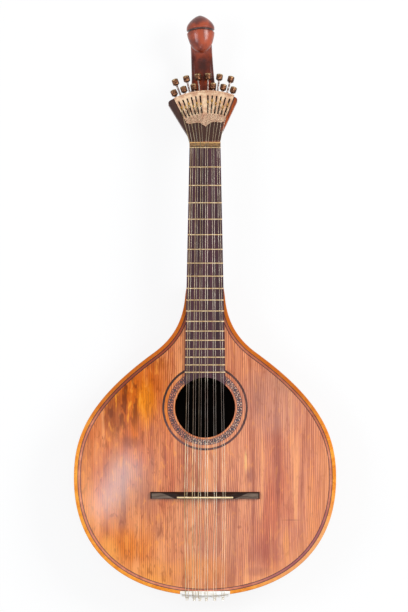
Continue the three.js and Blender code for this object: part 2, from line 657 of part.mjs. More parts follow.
// A screw with its collar, and the fluted knob fixed on its end
function makeScrew(isLong) {
  const knobStart = isLong ? longKnobRadius : shortKnobRadius;
  const knobEnd = knobStart + KNOB_HUB_LENGTH + KNOB_LENGTH;
  const profile = [
    [0, LOWER_RAIL_RADIUS],
    [SCREW_RADIUS, LOWER_RAIL_RADIUS],
    [SCREW_RADIUS, collarFoot],
    [COLLAR_RADIUS, collarFoot],
    [COLLAR_RADIUS, collarTop],
    [SCREW_RADIUS, collarTop],
    [SCREW_RADIUS, knobStart + half(KNOB_LENGTH)],
    [0, knobStart + half(KNOB_LENGTH)],
  ];
  const shaft = solidOf(
    new THREE.LatheGeometry(
      profile.map(([r, y]) => new THREE.Vector2(r, y)),
      SCREW_SIDES,
    ),
  );
  const ring = (radius, y, flute) =>
    Array.from({ length: 2 * KNOB_FLUTES }, (_, k) => {
      const turn = (Math.PI * k) / KNOB_FLUTES;
      const r = k % 2 === 0 ? radius : radius - flute;
      return new THREE.Vector3(r * Math.sin(turn), y, r * Math.cos(turn));
    });
  const drumFoot = knobStart + KNOB_HUB_LENGTH;
  const drumTop = knobEnd - KNOB_DOME;
  const knob = solidOf(
    loft([
      ring(KNOB_HUB_RADIUS, knobStart, 0),
      ring(KNOB_HUB_RADIUS, drumFoot, 0),
      ring(KNOB_RADIUS, drumFoot + KNOB_CHAMFER, KNOB_FLUTE_DEPTH),
      ring(KNOB_RADIUS, drumTop - KNOB_CHAMFER, KNOB_FLUTE_DEPTH),
      ring(KNOB_RADIUS - KNOB_CHAMFER, drumTop, 0),
      ring(half(KNOB_RADIUS), knobEnd, 0),
    ]),
  );
  return shaft.add(knob);
}

// A threaded block with a stem through the plate's slot and a lip that keeps the string's loop down
function makeHook(radius) {
  const blockHigh = -SCREW_DEPTH + half(HOOK_BLOCK_HEIGHT);
  const [side, end] = [half(HOOK_BLOCK_WIDTH), half(HOOK_BLOCK_LENGTH)];
  const body = block(
    new THREE.Vector3(-side, radius - end, blockHigh - HOOK_BLOCK_HEIGHT),
    new THREE.Vector3(side, radius + end, blockHigh),
  );
  const [foot, back] = [radius - half(HOOK_STEM_LENGTH), radius + half(HOOK_STEM_LENGTH)];
  const top = plateTop + HOOK_HEIGHT;
  const lip = top - HOOK_LIP_THICKNESS;
  const profile = new THREE.Shape();
  profile.moveTo(foot, blockHigh - half(HOOK_BLOCK_HEIGHT) / 2);
  profile.lineTo(back, blockHigh - half(HOOK_BLOCK_HEIGHT) / 2);
  profile.lineTo(back, lip);
  profile.lineTo(back + HOOK_LIP_LENGTH, lip);
  profile.lineTo(back + HOOK_LIP_LENGTH, half(lip + top));
  profile.quadraticCurveTo(back + half(HOOK_LIP_LENGTH), top, radius, top);
  profile.quadraticCurveTo(foot, top, foot, lip);
  const stem = profileAlongX(profile.getPoints(CURVE_STEPS), -half(HOOK_STEM_WIDTH), half(HOOK_STEM_WIDTH));
  const [low, high] = [radius - HOOK_BLOCK_LENGTH, radius + HOOK_BLOCK_LENGTH];
  const thread = roundBar(boreInRail, low, high, SCREW_SIDES).translate(0, 0, -SCREW_DEPTH);
  return body.add(stem).subtract(thread);
}

tuners.forEach((tuner, i) => {
  const number = String(i + 1).padStart(2, "0");
  const screw = addPart(`tuner_screw_${number}`, makeScrew(LONG_SCREWS.includes(i)), screwBronze, tuner);
  screw.position.z = -SCREW_DEPTH;
  addPart(`string_hook_${number}`, makeHook(hookRestRadius(i)), hookBrass, tuner);
});

// Fan plate and its two rails
const polar = (radius, angle) =>
  new THREE.Vector2(radius * Math.sin(angle), radius * Math.cos(angle));

function arcPoints(radius, from, to, steps) {
  const angleAt = (i) => THREE.MathUtils.lerp(from, to, i / steps);
  return Array.from({ length: steps + 1 }, (_, i) => polar(radius, angleAt(i)));
}

function makePlate() {
  const fromFan = (x, fromNut) => new THREE.Vector2(x, fromNut + FAN_CENTRE_SETBACK);
  const corner = fromFan(PLATE_FOOT_HALF_WIDTH, PLATE_FOOT_HEIGHT);
  const scallop = fromFan(PLATE_SCALLOP_X, PLATE_SCALLOP_HEIGHT);
  const tip = fromFan(0, PLATE_TIP_HEIGHT);
  const top = arcPoints(plateTopRadius, -PLATE_HALF_ANGLE, PLATE_HALF_ANGLE, stringCount);
  const foot = polar(PLATE_FOOT_RADIUS, PLATE_HALF_ANGLE);
  const shape = new THREE.Shape([...top, foot, corner]);
  shape.quadraticCurveTo(half(corner.x + scallop.x), scallop.y, scallop.x, scallop.y);
  shape.quadraticCurveTo(half(scallop.x), scallop.y, tip.x, tip.y);
  shape.quadraticCurveTo(-half(scallop.x), scallop.y, -scallop.x, scallop.y);
  shape.quadraticCurveTo(-half(corner.x + scallop.x), scallop.y, -corner.x, corner.y);
  shape.lineTo(-foot.x, foot.y);
  const plate = prism(shape.getPoints(CURVE_STEPS), plateBottom, plateTop);
  const slots = tuners.map((_, i) => {
    const side = half(SLOT_WIDTH);
    const [low, high] = [slotInnerRadius, slotOuterRadius];
    const slot = new THREE.Shape([
      new THREE.Vector2(-half(side), low),
      new THREE.Vector2(half(side), low),
      new THREE.Vector2(side, low + half(side)),
      new THREE.Vector2(side, high - half(side)),
      new THREE.Vector2(half(side), high),
      new THREE.Vector2(-half(side), high),
      new THREE.Vector2(-side, high - half(side)),
      new THREE.Vector2(-side, low + half(side)),
    ]);
    const cutter = prism(slot, plateBottom - OVERRUN, plateTop + OVERRUN);
    return cutter.rotate([0, 0, -THREE.MathUtils.radToDeg(tunerAngle(i))]);
  });
  return cutBy(plate, slots);
}

function makeRail(innerRadius) {
  const sideAngle = CAVITY_HALF_ANGLE - SEAM / innerRadius;
  const outerRadius = innerRadius + RAIL_THICKNESS;
  const outline = [
    ...arcPoints(innerRadius, -sideAngle, sideAngle, stringCount),
    ...arcPoints(outerRadius, -sideAngle, sideAngle, stringCount).reverse(),
  ];
  const bores = tuners.map((_, i) => {
    const bore = roundBar(boreInRail, innerRadius - OVERRUN, outerRadius + OVERRUN, SCREW_SIDES);
    return bore.translate(0, 0, -SCREW_DEPTH).rotate([0, 0, -THREE.MathUtils.radToDeg(tunerAngle(i))]);
  });
  return cutBy(prism(outline, -RAIL_DEPTH, 0), bores);
}

addPart("fan_plate", makePlate(), plateMetal, fan);
addPart("fan_upper_rail", makeRail(upperRailRadius), railBrass, fan);
addPart("fan_lower_rail", makeRail(LOWER_RAIL_RADIUS), railBrass, fan);

// Neck, heel, head and finial, cut from one piece of wood
function neckSection(y, top, width, depth) {
  return Array.from({ length: NECK_SIDES + 1 }, (_, i) => {
    const turn = (Math.PI * i) / NECK_SIDES;
    const round = (value) => Math.sign(value) * Math.abs(value) ** NECK_ROUNDING_SHARE;
    return new THREE.Vector3(half(width) * round(Math.cos(turn)), y, top - depth * round(Math.sin(turn)));
  });
}

function makeNeckShaft() {
  const start = jointY + SEAM;
  const widthAt = (y) => 2 * boardHalfWidthAt(Math.min(y, zeroFretY));
  const into = half(HEAD_FLARE_START);
  const sunk = BODY_DEPTH - into * Math.tan(HEAD_TILT) - SEAM;
  const endWidth = FINGERBOARD_WIDTH_AT_NUT - HEAD_BEVEL_DEPTH;
  return solidOf(
    loft([
      neckSection(start, BODY_DEPTH, widthAt(start), NECK_DEPTH_AT_HEEL),
      neckSection(headStartY, BODY_DEPTH, widthAt(headStartY), NECK_DEPTH_AT_NUT),
      neckSection(headStartY + into, sunk, endWidth, NECK_DEPTH_AT_NUT - half(HEAD_BEVEL_DEPTH)),
    ]),
  );
}

function makeHeel() {
  const start = jointY + SEAM;
  const top = BODY_DEPTH - half(NECK_DEPTH_AT_HEEL);
  const topWidth = 2 * boardHalfWidthAt(start) - TONGUE_REACH;
  const rings = HEEL_REACH_SHARES.map((share, level) => {
    const t = level / (HEEL_REACH_SHARES.length - 1);
    const width = THREE.MathUtils.lerp(HEEL_FOOT_WIDTH, topWidth, t);
    const reach = HEEL_FOOT + HEEL_REACH * share;
    return Array.from({ length: NECK_SIDES + 1 }, (_, i) => {
      const turn = (Math.PI * i) / NECK_SIDES;
      return new THREE.Vector3(half(width) * Math.cos(turn), start + reach * Math.sin(turn), top * t);
    });
  });
  return solidOf(loft(rings));
}

function makeNeckBlock() {
  const room = prism(wholeOutline(sideInset), insideLow, insideHigh);
  const limits = block(
    new THREE.Vector3(-BODY_WIDTH, jointY - NECK_BLOCK_LENGTH, insideLow - OVERRUN),
    new THREE.Vector3(BODY_WIDTH, jointY + OVERRUN, insideHigh + OVERRUN),
  );
  const tongue = block(
    new THREE.Vector3(-half(TONGUE_WIDTH), jointY - TONGUE_REACH, insideLow),
    new THREE.Vector3(half(TONGUE_WIDTH), jointY + TONGUE_REACH, insideHigh),
  );
  return room.intersect(limits).add(tongue);
}

// A section across the head, flat in front with bevelled edges, and round behind
function headSection(v, width, thickness, bevel) {
  const side = half(width);
  const backCorner = Array.from({ length: CORNER_STEPS + 1 }, (_, k) => {
    const turn = (k * Math.PI) / (2 * CORNER_STEPS);
    const inward = HEAD_BACK_ROUNDING * (1 - Math.cos(turn));
    return [side - inward, -thickness + HEAD_BACK_ROUNDING * (1 - Math.sin(turn))];
  });
  const treble = [[side - bevel * HEAD_BEVEL_WIDTH, 0], [side, -bevel * HEAD_BEVEL_DEPTH], ...backCorner];
  const bass = treble.map(([x, z]) => [-x, z]).reverse();
  return [...treble, ...bass].map(([x, z]) => new THREE.Vector3(x, v, z));
}

// The head's plan round the fan's centre: an arc across the top that ends in rounded corners
function headPlan() {
  const flareFoot = new THREE.Vector2(half(HEAD_FLARE_WIDTH), HEAD_FLARE_START + FAN_CENTRE_SETBACK);
  const flareTop = new THREE.Vector2(half(HEAD_WIDTH_AT_TOP), HEAD_LENGTH + FAN_CENTRE_SETBACK);
  const slope = new THREE.Vector2(flareTop.y - flareFoot.y, flareFoot.x - flareTop.x).normalize();
  const lean = Math.atan2(-slope.y, slope.x);
  const reach = HEAD_TOP_RADIUS - HEAD_CORNER_RADIUS;
  const turn = lean + Math.asin((slope.dot(flareFoot) - HEAD_CORNER_RADIUS) / reach);
  const corner = polar(reach, turn);
  const quarter = arcPoints(HEAD_CORNER_RADIUS, turn, lean + Math.PI / 2, CORNER_STEPS);
  const rounded = quarter.map((p) => p.add(corner));
  const outside = rounded.at(-1).clone().addScaledVector(slope, OVERRUN);
  const treble = [...rounded, outside, new THREE.Vector2(HEAD_WIDTH_AT_TOP, FAN_CENTRE_SETBACK - OVERRUN)];
  const across = arcPoints(HEAD_TOP_RADIUS, -turn, turn, stringCount);
  return [...across.slice(0, -1), ...treble, ...mirrored(treble).slice(0, -1)];
}

function makeHeadBlock() {
  const slope = (HEAD_WIDTH_AT_TOP - HEAD_FLARE_WIDTH) / (HEAD_LENGTH - HEAD_FLARE_START);
  const past = HEAD_TOP_RADIUS;
  const start = SEAM + half(FINGERBOARD_WIDTH_AT_NUT) * Math.tan(HEAD_LEAN);
  const nextWidth = HEAD_FLARE_WIDTH + slope * HEAD_FLARE_START;
  const sections = [
    headSection(start, FINGERBOARD_WIDTH_AT_NUT, HEAD_THICKNESS_AT_NUT, 1 / 4),
    headSection(HEAD_FLARE_START, HEAD_FLARE_WIDTH, half(HEAD_THICKNESS_AT_NUT + HEAD_THICKNESS), 1 / 2),
    headSection(2 * HEAD_FLARE_START, nextWidth, HEAD_THICKNESS, 1),
    headSection(past, HEAD_FLARE_WIDTH + slope * (past - HEAD_FLARE_START), HEAD_THICKNESS, 1),
  ];
  const plan = prism(headPlan(), -HEAD_THICKNESS - OVERRUN, OVERRUN);
  return solidOf(loft(sections)).intersect(plan.translate(0, -FAN_CENTRE_SETBACK, 0));
}

// The pocket under the plate, open at the top for the screws
function makeCavity() {
  const inner = LOWER_RAIL_RADIUS - SEAM;
  const outer = HEAD_TOP_RADIUS + HEAD_THICKNESS;
  const outline = [
    ...arcPoints(inner, -CAVITY_HALF_ANGLE, CAVITY_HALF_ANGLE, stringCount),
    ...arcPoints(outer, -CAVITY_HALF_ANGLE, CAVITY_HALF_ANGLE, stringCount).reverse(),
  ];
  return prism(outline, -CAVITY_FLOOR, OVERRUN).translate(FAN_OFFSET, -FAN_CENTRE_SETBACK, 0);
}

// The shaft leaves the head block, passes behind the knobs and climbs forward into the drop
function makeFinialShaft() {
  const root = HEAD_TOP_RADIUS - FAN_CENTRE_SETBACK - SHAFT_ROOT_DEPTH;
  const knobEnd = longKnobRadius + KNOB_HUB_LENGTH + KNOB_LENGTH - FAN_CENTRE_SETBACK;
  const end = FINIAL_LENGTH - DROP_LENGTH * (1 - SHAFT_END_SHARE);
  const rootLevel = -HEAD_THICKNESS + half(half(SHAFT_THICKNESS));
  const lowLevel = -SCREW_DEPTH - KNOB_RADIUS - KNOB_CLEARANCE - half(SHAFT_THICKNESS);
  const { lerp } = THREE.MathUtils;
  const low = SHAFT_LOW_SHARES.map((share, n) => [
    lerp(root, knobEnd, share),
    lerp(rootLevel, lowLevel, SHAFT_DIP_SHARES[n]),
  ]);
  const rise = SHAFT_RISE_SHARES.map((share, n) => [
    lerp(knobEnd, end, share),
    lerp(lowLevel, DROP_FORWARD, SHAFT_LIFT_SHARES[n]),
  ]);
  const rings = [...low, ...rise].map(([v, level], n) => {
    const width = lerp(SHAFT_NARROW_WIDTH, SHAFT_ROOT_WIDTH, SHAFT_FLARE_SHARES[n]);
    const thickness = SHAFT_THICKNESS * SHAFT_SLIM_SHARES[n];
    return Array.from({ length: SHAFT_SIDES }, (_, k) => {
      const turn = (2 * Math.PI * k) / SHAFT_SIDES;
      const round = (value) => Math.sign(value) * Math.abs(value) ** NECK_ROUNDING_SHARE;
      const flute = Math.sin(turn) > 0 ? SHAFT_FLUTE_DEPTH * Math.max(0, -Math.cos(2 * turn)) : 0;
      const z = level + half(thickness) * round(Math.sin(turn)) - flute;
      return new THREE.Vector3(half(width) * round(Math.cos(turn)), v, z);
    });
  });
  return solidOf(loft(rings));
}

// The hanging drop with a grooved cap, turned and then flattened a little
function makeDrop() {
  const groove = DROP_GROOVE_SHARE * DROP_LENGTH;
  const profile = [
    [0, 0],
    ...DROP_HEIGHT_SHARES.map((share, n) => [DROP_RADIUS * DROP_RADIUS_SHARES[n], DROP_LENGTH * share]),
    [DROP_RADIUS, groove - DROP_GROOVE_HALF_WIDTH],
    [DROP_RADIUS - DROP_GROOVE_DEPTH, groove],
    [DROP_RADIUS, groove + DROP_GROOVE_HALF_WIDTH],
    ...CAP_HEIGHT_SHARES.map((share, n) => [DROP_RADIUS * CAP_RADIUS_SHARES[n], DROP_LENGTH * share]),
    [0, DROP_LENGTH],
  ];
  const drop = new THREE.LatheGeometry(
    profile.map(([r, y]) => new THREE.Vector2(r, y)),
    DROP_SIDES,
  );
  drop.scale(1, 1, DROP_FLATNESS_SHARE);
  return solidOf(drop.translate(0, FINIAL_LENGTH - DROP_LENGTH, DROP_FORWARD));
}

function makeNeck() {
  const headWood = cutBy(makeHeadBlock(), [makeCavity()]);
  const finial = makeFinialShaft().add(makeDrop()).translate(FAN_OFFSET, 0, 0);
  const onHead = headWood.add(finial);
  const placed = onHead.transform(head.matrixWorld.elements);
  return joined([makeNeckShaft(), makeHeel(), makeNeckBlock(), placed]);
}

addPart("neck", makeNeck(), redwood);

// Bridge and saddle
function makeBridge() {
  const end = half(BRIDGE_LENGTH);
  const wing = end - BRIDGE_WING_LENGTH;
  const shoulder = wing - BRIDGE_SWEEP_LENGTH;
  const arch = half(BRIDGE_ARCH_LENGTH);
  const level = (height) => bridgeBottom + height;
  const front = new THREE.Shape();
  front.moveTo(-end, level(0));
  front.lineTo(-arch, level(0));
  front.quadraticCurveTo(0, level(2 * BRIDGE_ARCH_HEIGHT), arch, level(0));
  front.lineTo(end, level(0));
  front.lineTo(end, level(BRIDGE_WING_HEIGHT));
  front.lineTo(wing, level(BRIDGE_WING_HEIGHT));
  front.quadraticCurveTo(shoulder, level(BRIDGE_WING_HEIGHT), shoulder, level(BRIDGE_HEIGHT));
  front.lineTo(-shoulder, level(BRIDGE_HEIGHT));
  front.quadraticCurveTo(-shoulder, level(BRIDGE_WING_HEIGHT), -wing, level(BRIDGE_WING_HEIGHT));
  front.lineTo(-end, level(BRIDGE_WING_HEIGHT));
  const back = -half(SADDLE_THICKNESS) - SEAM - BRIDGE_BACK_WALL;
  const toe = back + BRIDGE_FOOT_DEPTH;
  const crest = back + BRIDGE_CREST_DEPTH;
  const blank = profileAlongY(front.getPoints(2 * CURVE_STEPS), back, toe);
  const rise = BRIDGE_HEIGHT - BRIDGE_TOE;
  const above = (OVERRUN * (toe - crest)) / rise;
  const slope = profileAlongX(
    [
      new THREE.Vector2(toe + OVERRUN, level(BRIDGE_TOE) - (OVERRUN * rise) / (toe - crest)),
      new THREE.Vector2(toe + OVERRUN, level(BRIDGE_HEIGHT) + OVERRUN),
      new THREE.Vector2(crest - above, level(BRIDGE_HEIGHT) + OVERRUN),
    ],
    -end - OVERRUN,
    end + OVERRUN,
  );
  const slotSide = half(SADDLE_THICKNESS) + SEAM;
  const slot = block(
    new THREE.Vector3(-half(SADDLE_LENGTH) - SEAM, -slotSide, level(BRIDGE_HEIGHT - SADDLE_SEAT) - SEAM),
    new THREE.Vector3(half(SADDLE_LENGTH) + SEAM, slotSide, level(BRIDGE_HEIGHT) + OVERRUN),
  );
  return cutBy(blank, [slope, slot]);
}

function makeSaddle() {
  const end = half(SADDLE_LENGTH);
  const low = bridgeBottom + BRIDGE_HEIGHT - SADDLE_SEAT;
  const top = Array.from({ length: CAMBER_STEPS + 1 }, (_, i) => {
    const x = end - (2 * end * i) / CAMBER_STEPS;
    return new THREE.Vector2(x, saddleTop - camber(x));
  });
  const outline = [new THREE.Vector2(-end, low), new THREE.Vector2(end, low), ...top];
  return profileAlongY(outline, -half(SADDLE_THICKNESS), half(SADDLE_THICKNESS));
}

addPart("bridge", makeBridge(), rosewood);
addPart("bridge_saddle", makeSaddle(), bone);

// Tail saddle and tailpiece
const tailSaddleTop = BODY_DEPTH + TAIL_SADDLE_RISE;

function makeTailSaddle() {
  const inner = tailY + TAIL_SADDLE_LENGTH;
  const low = soundboardUnderside;
  const room = prism(wholeOutline(0), low, tailSaddleTop + OVERRUN);
  const profile = [
    new THREE.Vector2(tailY - OVERRUN, low),
    new THREE.Vector2(inner, low),
    new THREE.Vector2(inner, tailSaddleTop),
    new THREE.Vector2(tailY + 2 * TAIL_SADDLE_ROUNDING, tailSaddleTop),
    new THREE.Vector2(tailY + TAIL_SADDLE_ROUNDING, tailSaddleTop - TAIL_SADDLE_ROUNDING / 4),
    new THREE.Vector2(tailY, tailSaddleTop - TAIL_SADDLE_ROUNDING),
    new THREE.Vector2(tailY - OVERRUN, tailSaddleTop - TAIL_SADDLE_ROUNDING),
  ];
  return room.intersect(profileAlongX(profile, -half(TAIL_SADDLE_WIDTH), half(TAIL_SADDLE_WIDTH)));
}

const pinZ = BODY_DEPTH - TAILPIECE_DROP - half(TAILPIECE_HEIGHT);
const tailpieceFaceAt = (x) => tailEdgeAt(x) - SEAM - TAILPIECE_THICKNESS;

function makeTailpiece() {
  const high = BODY_DEPTH - TAILPIECE_DROP;
  const low = high - TAILPIECE_HEIGHT;
  const limits = block(
    new THREE.Vector3(-half(TAILPIECE_WIDTH), tailY - OVERRUN - OVERRUN, low - OVERRUN),
    new THREE.Vector3(half(TAILPIECE_WIDTH), 0, high + OVERRUN),
  );
  const outer = prism(wholeOutline(-SEAM - TAILPIECE_THICKNESS), low, high);
  const inner = prism(wholeOutline(-SEAM), low - OVERRUN, high + OVERRUN);
  const plate = outer.subtract(inner).intersect(limits);
  const profile = [
    [0, -half(TAILPIECE_THICKNESS)],
    [TAIL_PIN_RADIUS, -half(TAILPIECE_THICKNESS)],
    [TAIL_PIN_RADIUS, TAIL_PIN_LENGTH],
    [TAIL_PIN_HEAD_RADIUS, TAIL_PIN_LENGTH],
    [TAIL_PIN_HEAD_RADIUS, TAIL_PIN_LENGTH + TAIL_PIN_HEAD_LENGTH],
    [0, TAIL_PIN_LENGTH + TAIL_PIN_HEAD_LENGTH],
  ];
  const pins = COURSE_AT_BRIDGE_SHARES.map((_, course) => {
    const x = pinX(2 * course);
    const pin = new THREE.LatheGeometry(
      profile.map(([r, y]) => new THREE.Vector2(r, y)),
      TAIL_PIN_SIDES,
    );
    return solidOf(pin.rotateZ(Math.PI).translate(x, tailpieceFaceAt(x), pinZ));
  });
  return joined([plate, ...pins]);
}

addPart("tail_saddle", makeTailSaddle(), bone);
addPart("tailpiece", makeTailpiece(), bone);

// Strings: each loops round its hook, runs over nut, zero fret, bridge and tail, and loops round its pin
function hookLoop(i) {
  const radius = stringRadius(i);
  const around = half(HOOK_STEM_WIDTH) + STRING_REST + radius;
  const side = tunerAngle(i) < 0 ? -1 : 1;
  const height = plateTop + STRING_REST + radius;
  const middle = hookRestRadius(i);
  const turnAt = middle + half(HOOK_STEM_LENGTH) - half(HOOK_STEM_WIDTH);
  const local = [
    new THREE.Vector3(-side * around, turnAt - LOOP_TAIL, height),
    ...[0, 1, 2, 3, 4].map((k) => {
      const turn = (k * Math.PI) / 4;
      return new THREE.Vector3(-side * around * Math.cos(turn), turnAt + around * Math.sin(turn), height);
    }),
    new THREE.Vector3(side * around, middle - half(HOOK_STEM_LENGTH), height),
  ];
  return local.map((p) => p.applyMatrix4(tuners[i].matrixWorld));
}

function pinLoop(i) {
  const radius = stringRadius(i);
  const around = TAIL_PIN_RADIUS + STRING_REST + radius;
  const side = i % 2 === 0 ? -1 : 1;
  const x = pinX(i);
  const lane = STRING_REST + half(BASS_STRING_DIAMETER);
  const y = tailpieceFaceAt(x) - lane * LOOP_LANE_SHARES[i % 2];
  const over = BODY_DEPTH - TAILPIECE_DROP + STRING_REST + radius;
  return [
    new THREE.Vector3(x + side * around, y, over),
    ...[0, 1, 2, 3, 4].map((k) => {
      const turn = (k * Math.PI) / 4;
      return new THREE.Vector3(x + side * around * Math.cos(turn), y, pinZ - around * Math.sin(turn));
    }),
    new THREE.Vector3(x - side * around, y, pinZ + LOOP_TAIL),
  ];
}

function stringPath(i) {
  const radius = stringRadius(i);
  const clear = STRING_REST + radius;
  const [atNut, atBridge] = [nutX(i), bridgeX(i)];
  const loopX = pinLoop(i)[0].x;
  const edge = tailEdgeAt(loopX);
  return [
    ...hookLoop(i),
    new THREE.Vector3(atNut, zeroFretY, fretTop - camber(atNut) + clear),
    new THREE.Vector3(atBridge, 0, saddleTop - camber(atBridge) + clear),
    new THREE.Vector3(loopX, edge + 2 * TAIL_SADDLE_ROUNDING, tailSaddleTop + clear),
    new THREE.Vector3(loopX, edge, tailSaddleTop - TAIL_SADDLE_ROUNDING / 4 + clear),
    new THREE.Vector3(loopX, edge - clear, tailSaddleTop - TAIL_SADDLE_ROUNDING),
    ...pinLoop(i),
  ];
}

for (let i = 0; i < stringCount; i++) {
  const name = `string_${String(i + 1).padStart(2, "0")}`;
  addPart(name, tube(stringPath(i), stringRadius(i), STRING_SIDES), stringSteel);
}

// Nut: a block that falls away towards the head, with a groove for each string
function makeNut() {
  const low = BODY_DEPTH + SEAM;
  const [start, end] = [boardEndY + SEAM, headStartY];
  const path = stringPath(Math.floor(stringCount / 2));
  const zero = path[hookLoop(0).length];
  const hook = path[hookLoop(0).length - 1];
  const fall = (zero.z - hook.z) / (hook.y - zero.y);
  const lineAt = (y) => zero.z - fall * (y - zero.y);
  const profile = [
    new THREE.Vector2(start, low),
    new THREE.Vector2(end, low),
    new THREE.Vector2(end, lineAt(end) + NUT_ABOVE_STRING),
    new THREE.Vector2(start, lineAt(start) + NUT_ABOVE_STRING),
  ];
  const blank = profileAlongX(profile, -half(FINGERBOARD_WIDTH_AT_NUT), half(FINGERBOARD_WIDTH_AT_NUT));
  const grooves = Array.from({ length: stringCount }, (_, i) => {
    const points = stringPath(i);
    const [from, to] = [points[hookLoop(i).length - 1], points[hookLoop(i).length]];
    return solidOf(tube([from, to], boreRadius(stringRadius(i) + STRING_REST, STRING_SIDES), STRING_SIDES));
  });
  return cutBy(blank, grooves);
}

addPart("nut", makeNut(), nutBrass);

export default guitar;
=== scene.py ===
# %% [markdown]
# # A fan-tuned twelve-string guitar, dressed piece by piece
# The construction model already holds every piece at its true size and every joint.
# This lesson loads it as a fixed frame and then gives each piece its fine shape and its finish.
# Lengths are written in millimetres and turned into Blender's metres in one place, so that
# the numbers read like a maker's notes.

# %% Load the frame
import json
import math

import bpy
import bmesh
from mathutils import Matrix, Vector
from mathutils.geometry import tessellate_polygon

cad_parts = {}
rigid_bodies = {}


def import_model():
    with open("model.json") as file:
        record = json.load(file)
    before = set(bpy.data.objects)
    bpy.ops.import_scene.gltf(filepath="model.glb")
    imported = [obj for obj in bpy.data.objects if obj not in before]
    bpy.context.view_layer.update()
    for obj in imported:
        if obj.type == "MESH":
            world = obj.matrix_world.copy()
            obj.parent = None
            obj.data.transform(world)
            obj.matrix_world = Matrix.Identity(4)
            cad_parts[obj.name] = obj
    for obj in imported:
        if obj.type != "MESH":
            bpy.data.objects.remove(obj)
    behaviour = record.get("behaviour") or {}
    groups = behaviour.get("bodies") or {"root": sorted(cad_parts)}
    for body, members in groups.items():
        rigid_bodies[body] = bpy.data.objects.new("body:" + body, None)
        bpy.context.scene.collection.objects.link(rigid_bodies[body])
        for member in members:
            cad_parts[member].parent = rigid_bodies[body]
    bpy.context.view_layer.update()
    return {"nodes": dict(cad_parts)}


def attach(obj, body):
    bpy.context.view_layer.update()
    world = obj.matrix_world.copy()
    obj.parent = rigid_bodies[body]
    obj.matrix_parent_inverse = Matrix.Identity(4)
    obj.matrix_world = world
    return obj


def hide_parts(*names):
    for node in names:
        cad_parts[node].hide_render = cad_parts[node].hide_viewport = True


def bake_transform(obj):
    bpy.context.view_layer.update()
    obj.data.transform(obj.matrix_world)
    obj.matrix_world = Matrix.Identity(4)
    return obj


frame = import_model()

MM = 0.001

# %% [markdown]
# ## Camera
# The instrument is seen square from above. A long lens keeps the head and the tail from
# leaning away. The view's height in millimetres and the camera's distance give the lens.

# %% Camera
VIEW_CENTRE = (-1.3, 245.1)
VIEW_HEIGHT = 783.4
CAMERA_DISTANCE = 8000
STRING_PLANE = 77
SENSOR = 36

camera_data = bpy.data.cameras.new("camera")
camera_data.sensor_width = SENSOR
camera_data.lens = SENSOR * CAMERA_DISTANCE / VIEW_HEIGHT
camera = bpy.data.objects.new("camera", camera_data)
camera.location = Vector((*VIEW_CENTRE, STRING_PLANE + CAMERA_DISTANCE)) * MM
bpy.context.collection.objects.link(camera)
bpy.context.scene.camera = camera
bpy.context.scene.view_settings.view_transform = "Standard"
print("lens:", round(camera_data.lens, 1), "mm")

# %% [markdown]
# ## Building nodes by hand
# A finish in Blender is a graph of small nodes. Writing it in code means many calls that
# look alike, so a small class keeps the graph and has one short method for each kind of
# node used here. A second class adds what only a surface has. It works as a finisher does:
# a ground colour first, and then one thin layer of paint over another. Places are read in
# millimetres from the object's own coordinates, which stay with the piece when it moves.

# %% Node graphs
def rgb(code):
    """A colour written as on screen, as the linear numbers that Blender mixes."""
    values = [int(code[i:i + 2], 16) / 255 for i in (0, 2, 4)]
    linear = [v / 12.92 if v <= 0.04045 else ((v + 0.055) / 1.055) ** 2.4 for v in values]
    return (*linear, 1)


class Graph:
    """A tree of nodes, with one short method for each kind of node."""

    def __init__(self, tree):
        self.tree = tree

    def feed(self, socket, value):
        if isinstance(value, bpy.types.NodeSocket):
            self.tree.links.new(value, socket)
        else:
            socket.default_value = value

    def node(self, kind, inputs=None, **settings):
        made = self.tree.nodes.new("ShaderNode" + kind)
        for name, value in settings.items():
            setattr(made, name, value)
        for name, value in (inputs or {}).items():
            self.feed(made.inputs[name], value)
        return made

    def calc(self, operation, a, b=0.0):
        return self.node("Math", {0: a, 1: b}, operation=operation).outputs["Value"]

    def plus(self, a, b):
        return self.calc("ADD", a, b)

    def minus(self, a, b):
        return self.calc("SUBTRACT", a, b)

    def times(self, a, b):
        return self.calc("MULTIPLY", a, b)

    def larger(self, a, b):
        return self.calc("MAXIMUM", a, b)

    def off(self, value, middle=0.0):
        """How far a value is from a middle one, to either side."""
        return self.calc("ABSOLUTE", self.minus(value, middle))

    def oval(self, x, y, centre, size):
        """Zero in the middle of an oval and 1 on its rim, growing with the square."""
        parts = []
        for value, middle, reach in zip((x, y), centre, size):
            share = self.calc("DIVIDE", self.minus(value, middle), reach)
            parts.append(self.calc("POWER", share, 2))
        return self.plus(*parts)

    def between(self, value, low, high, to_low=0.0, to_high=1.0):
        """A soft step: to_low below low, to_high above high."""
        inputs = {"Value": value, "From Min": low, "From Max": high}
        inputs.update({"To Min": to_low, "To Max": to_high})
        return self.node("MapRange", inputs, interpolation_type="SMOOTHSTEP").outputs["Result"]

    def mix(self, factor, a, b, blend="MIX"):
        made = self.node("Mix", data_type="RGBA", blend_type=blend, clamp_factor=True)
        for index, value in ((0, factor), (6, a), (7, b)):
            self.feed(made.inputs[index], rgb(value) if isinstance(value, str) else value)
        return made.outputs[2]


print("middle grey of the screen in linear light:", round(rgb("808080")[0], 3))

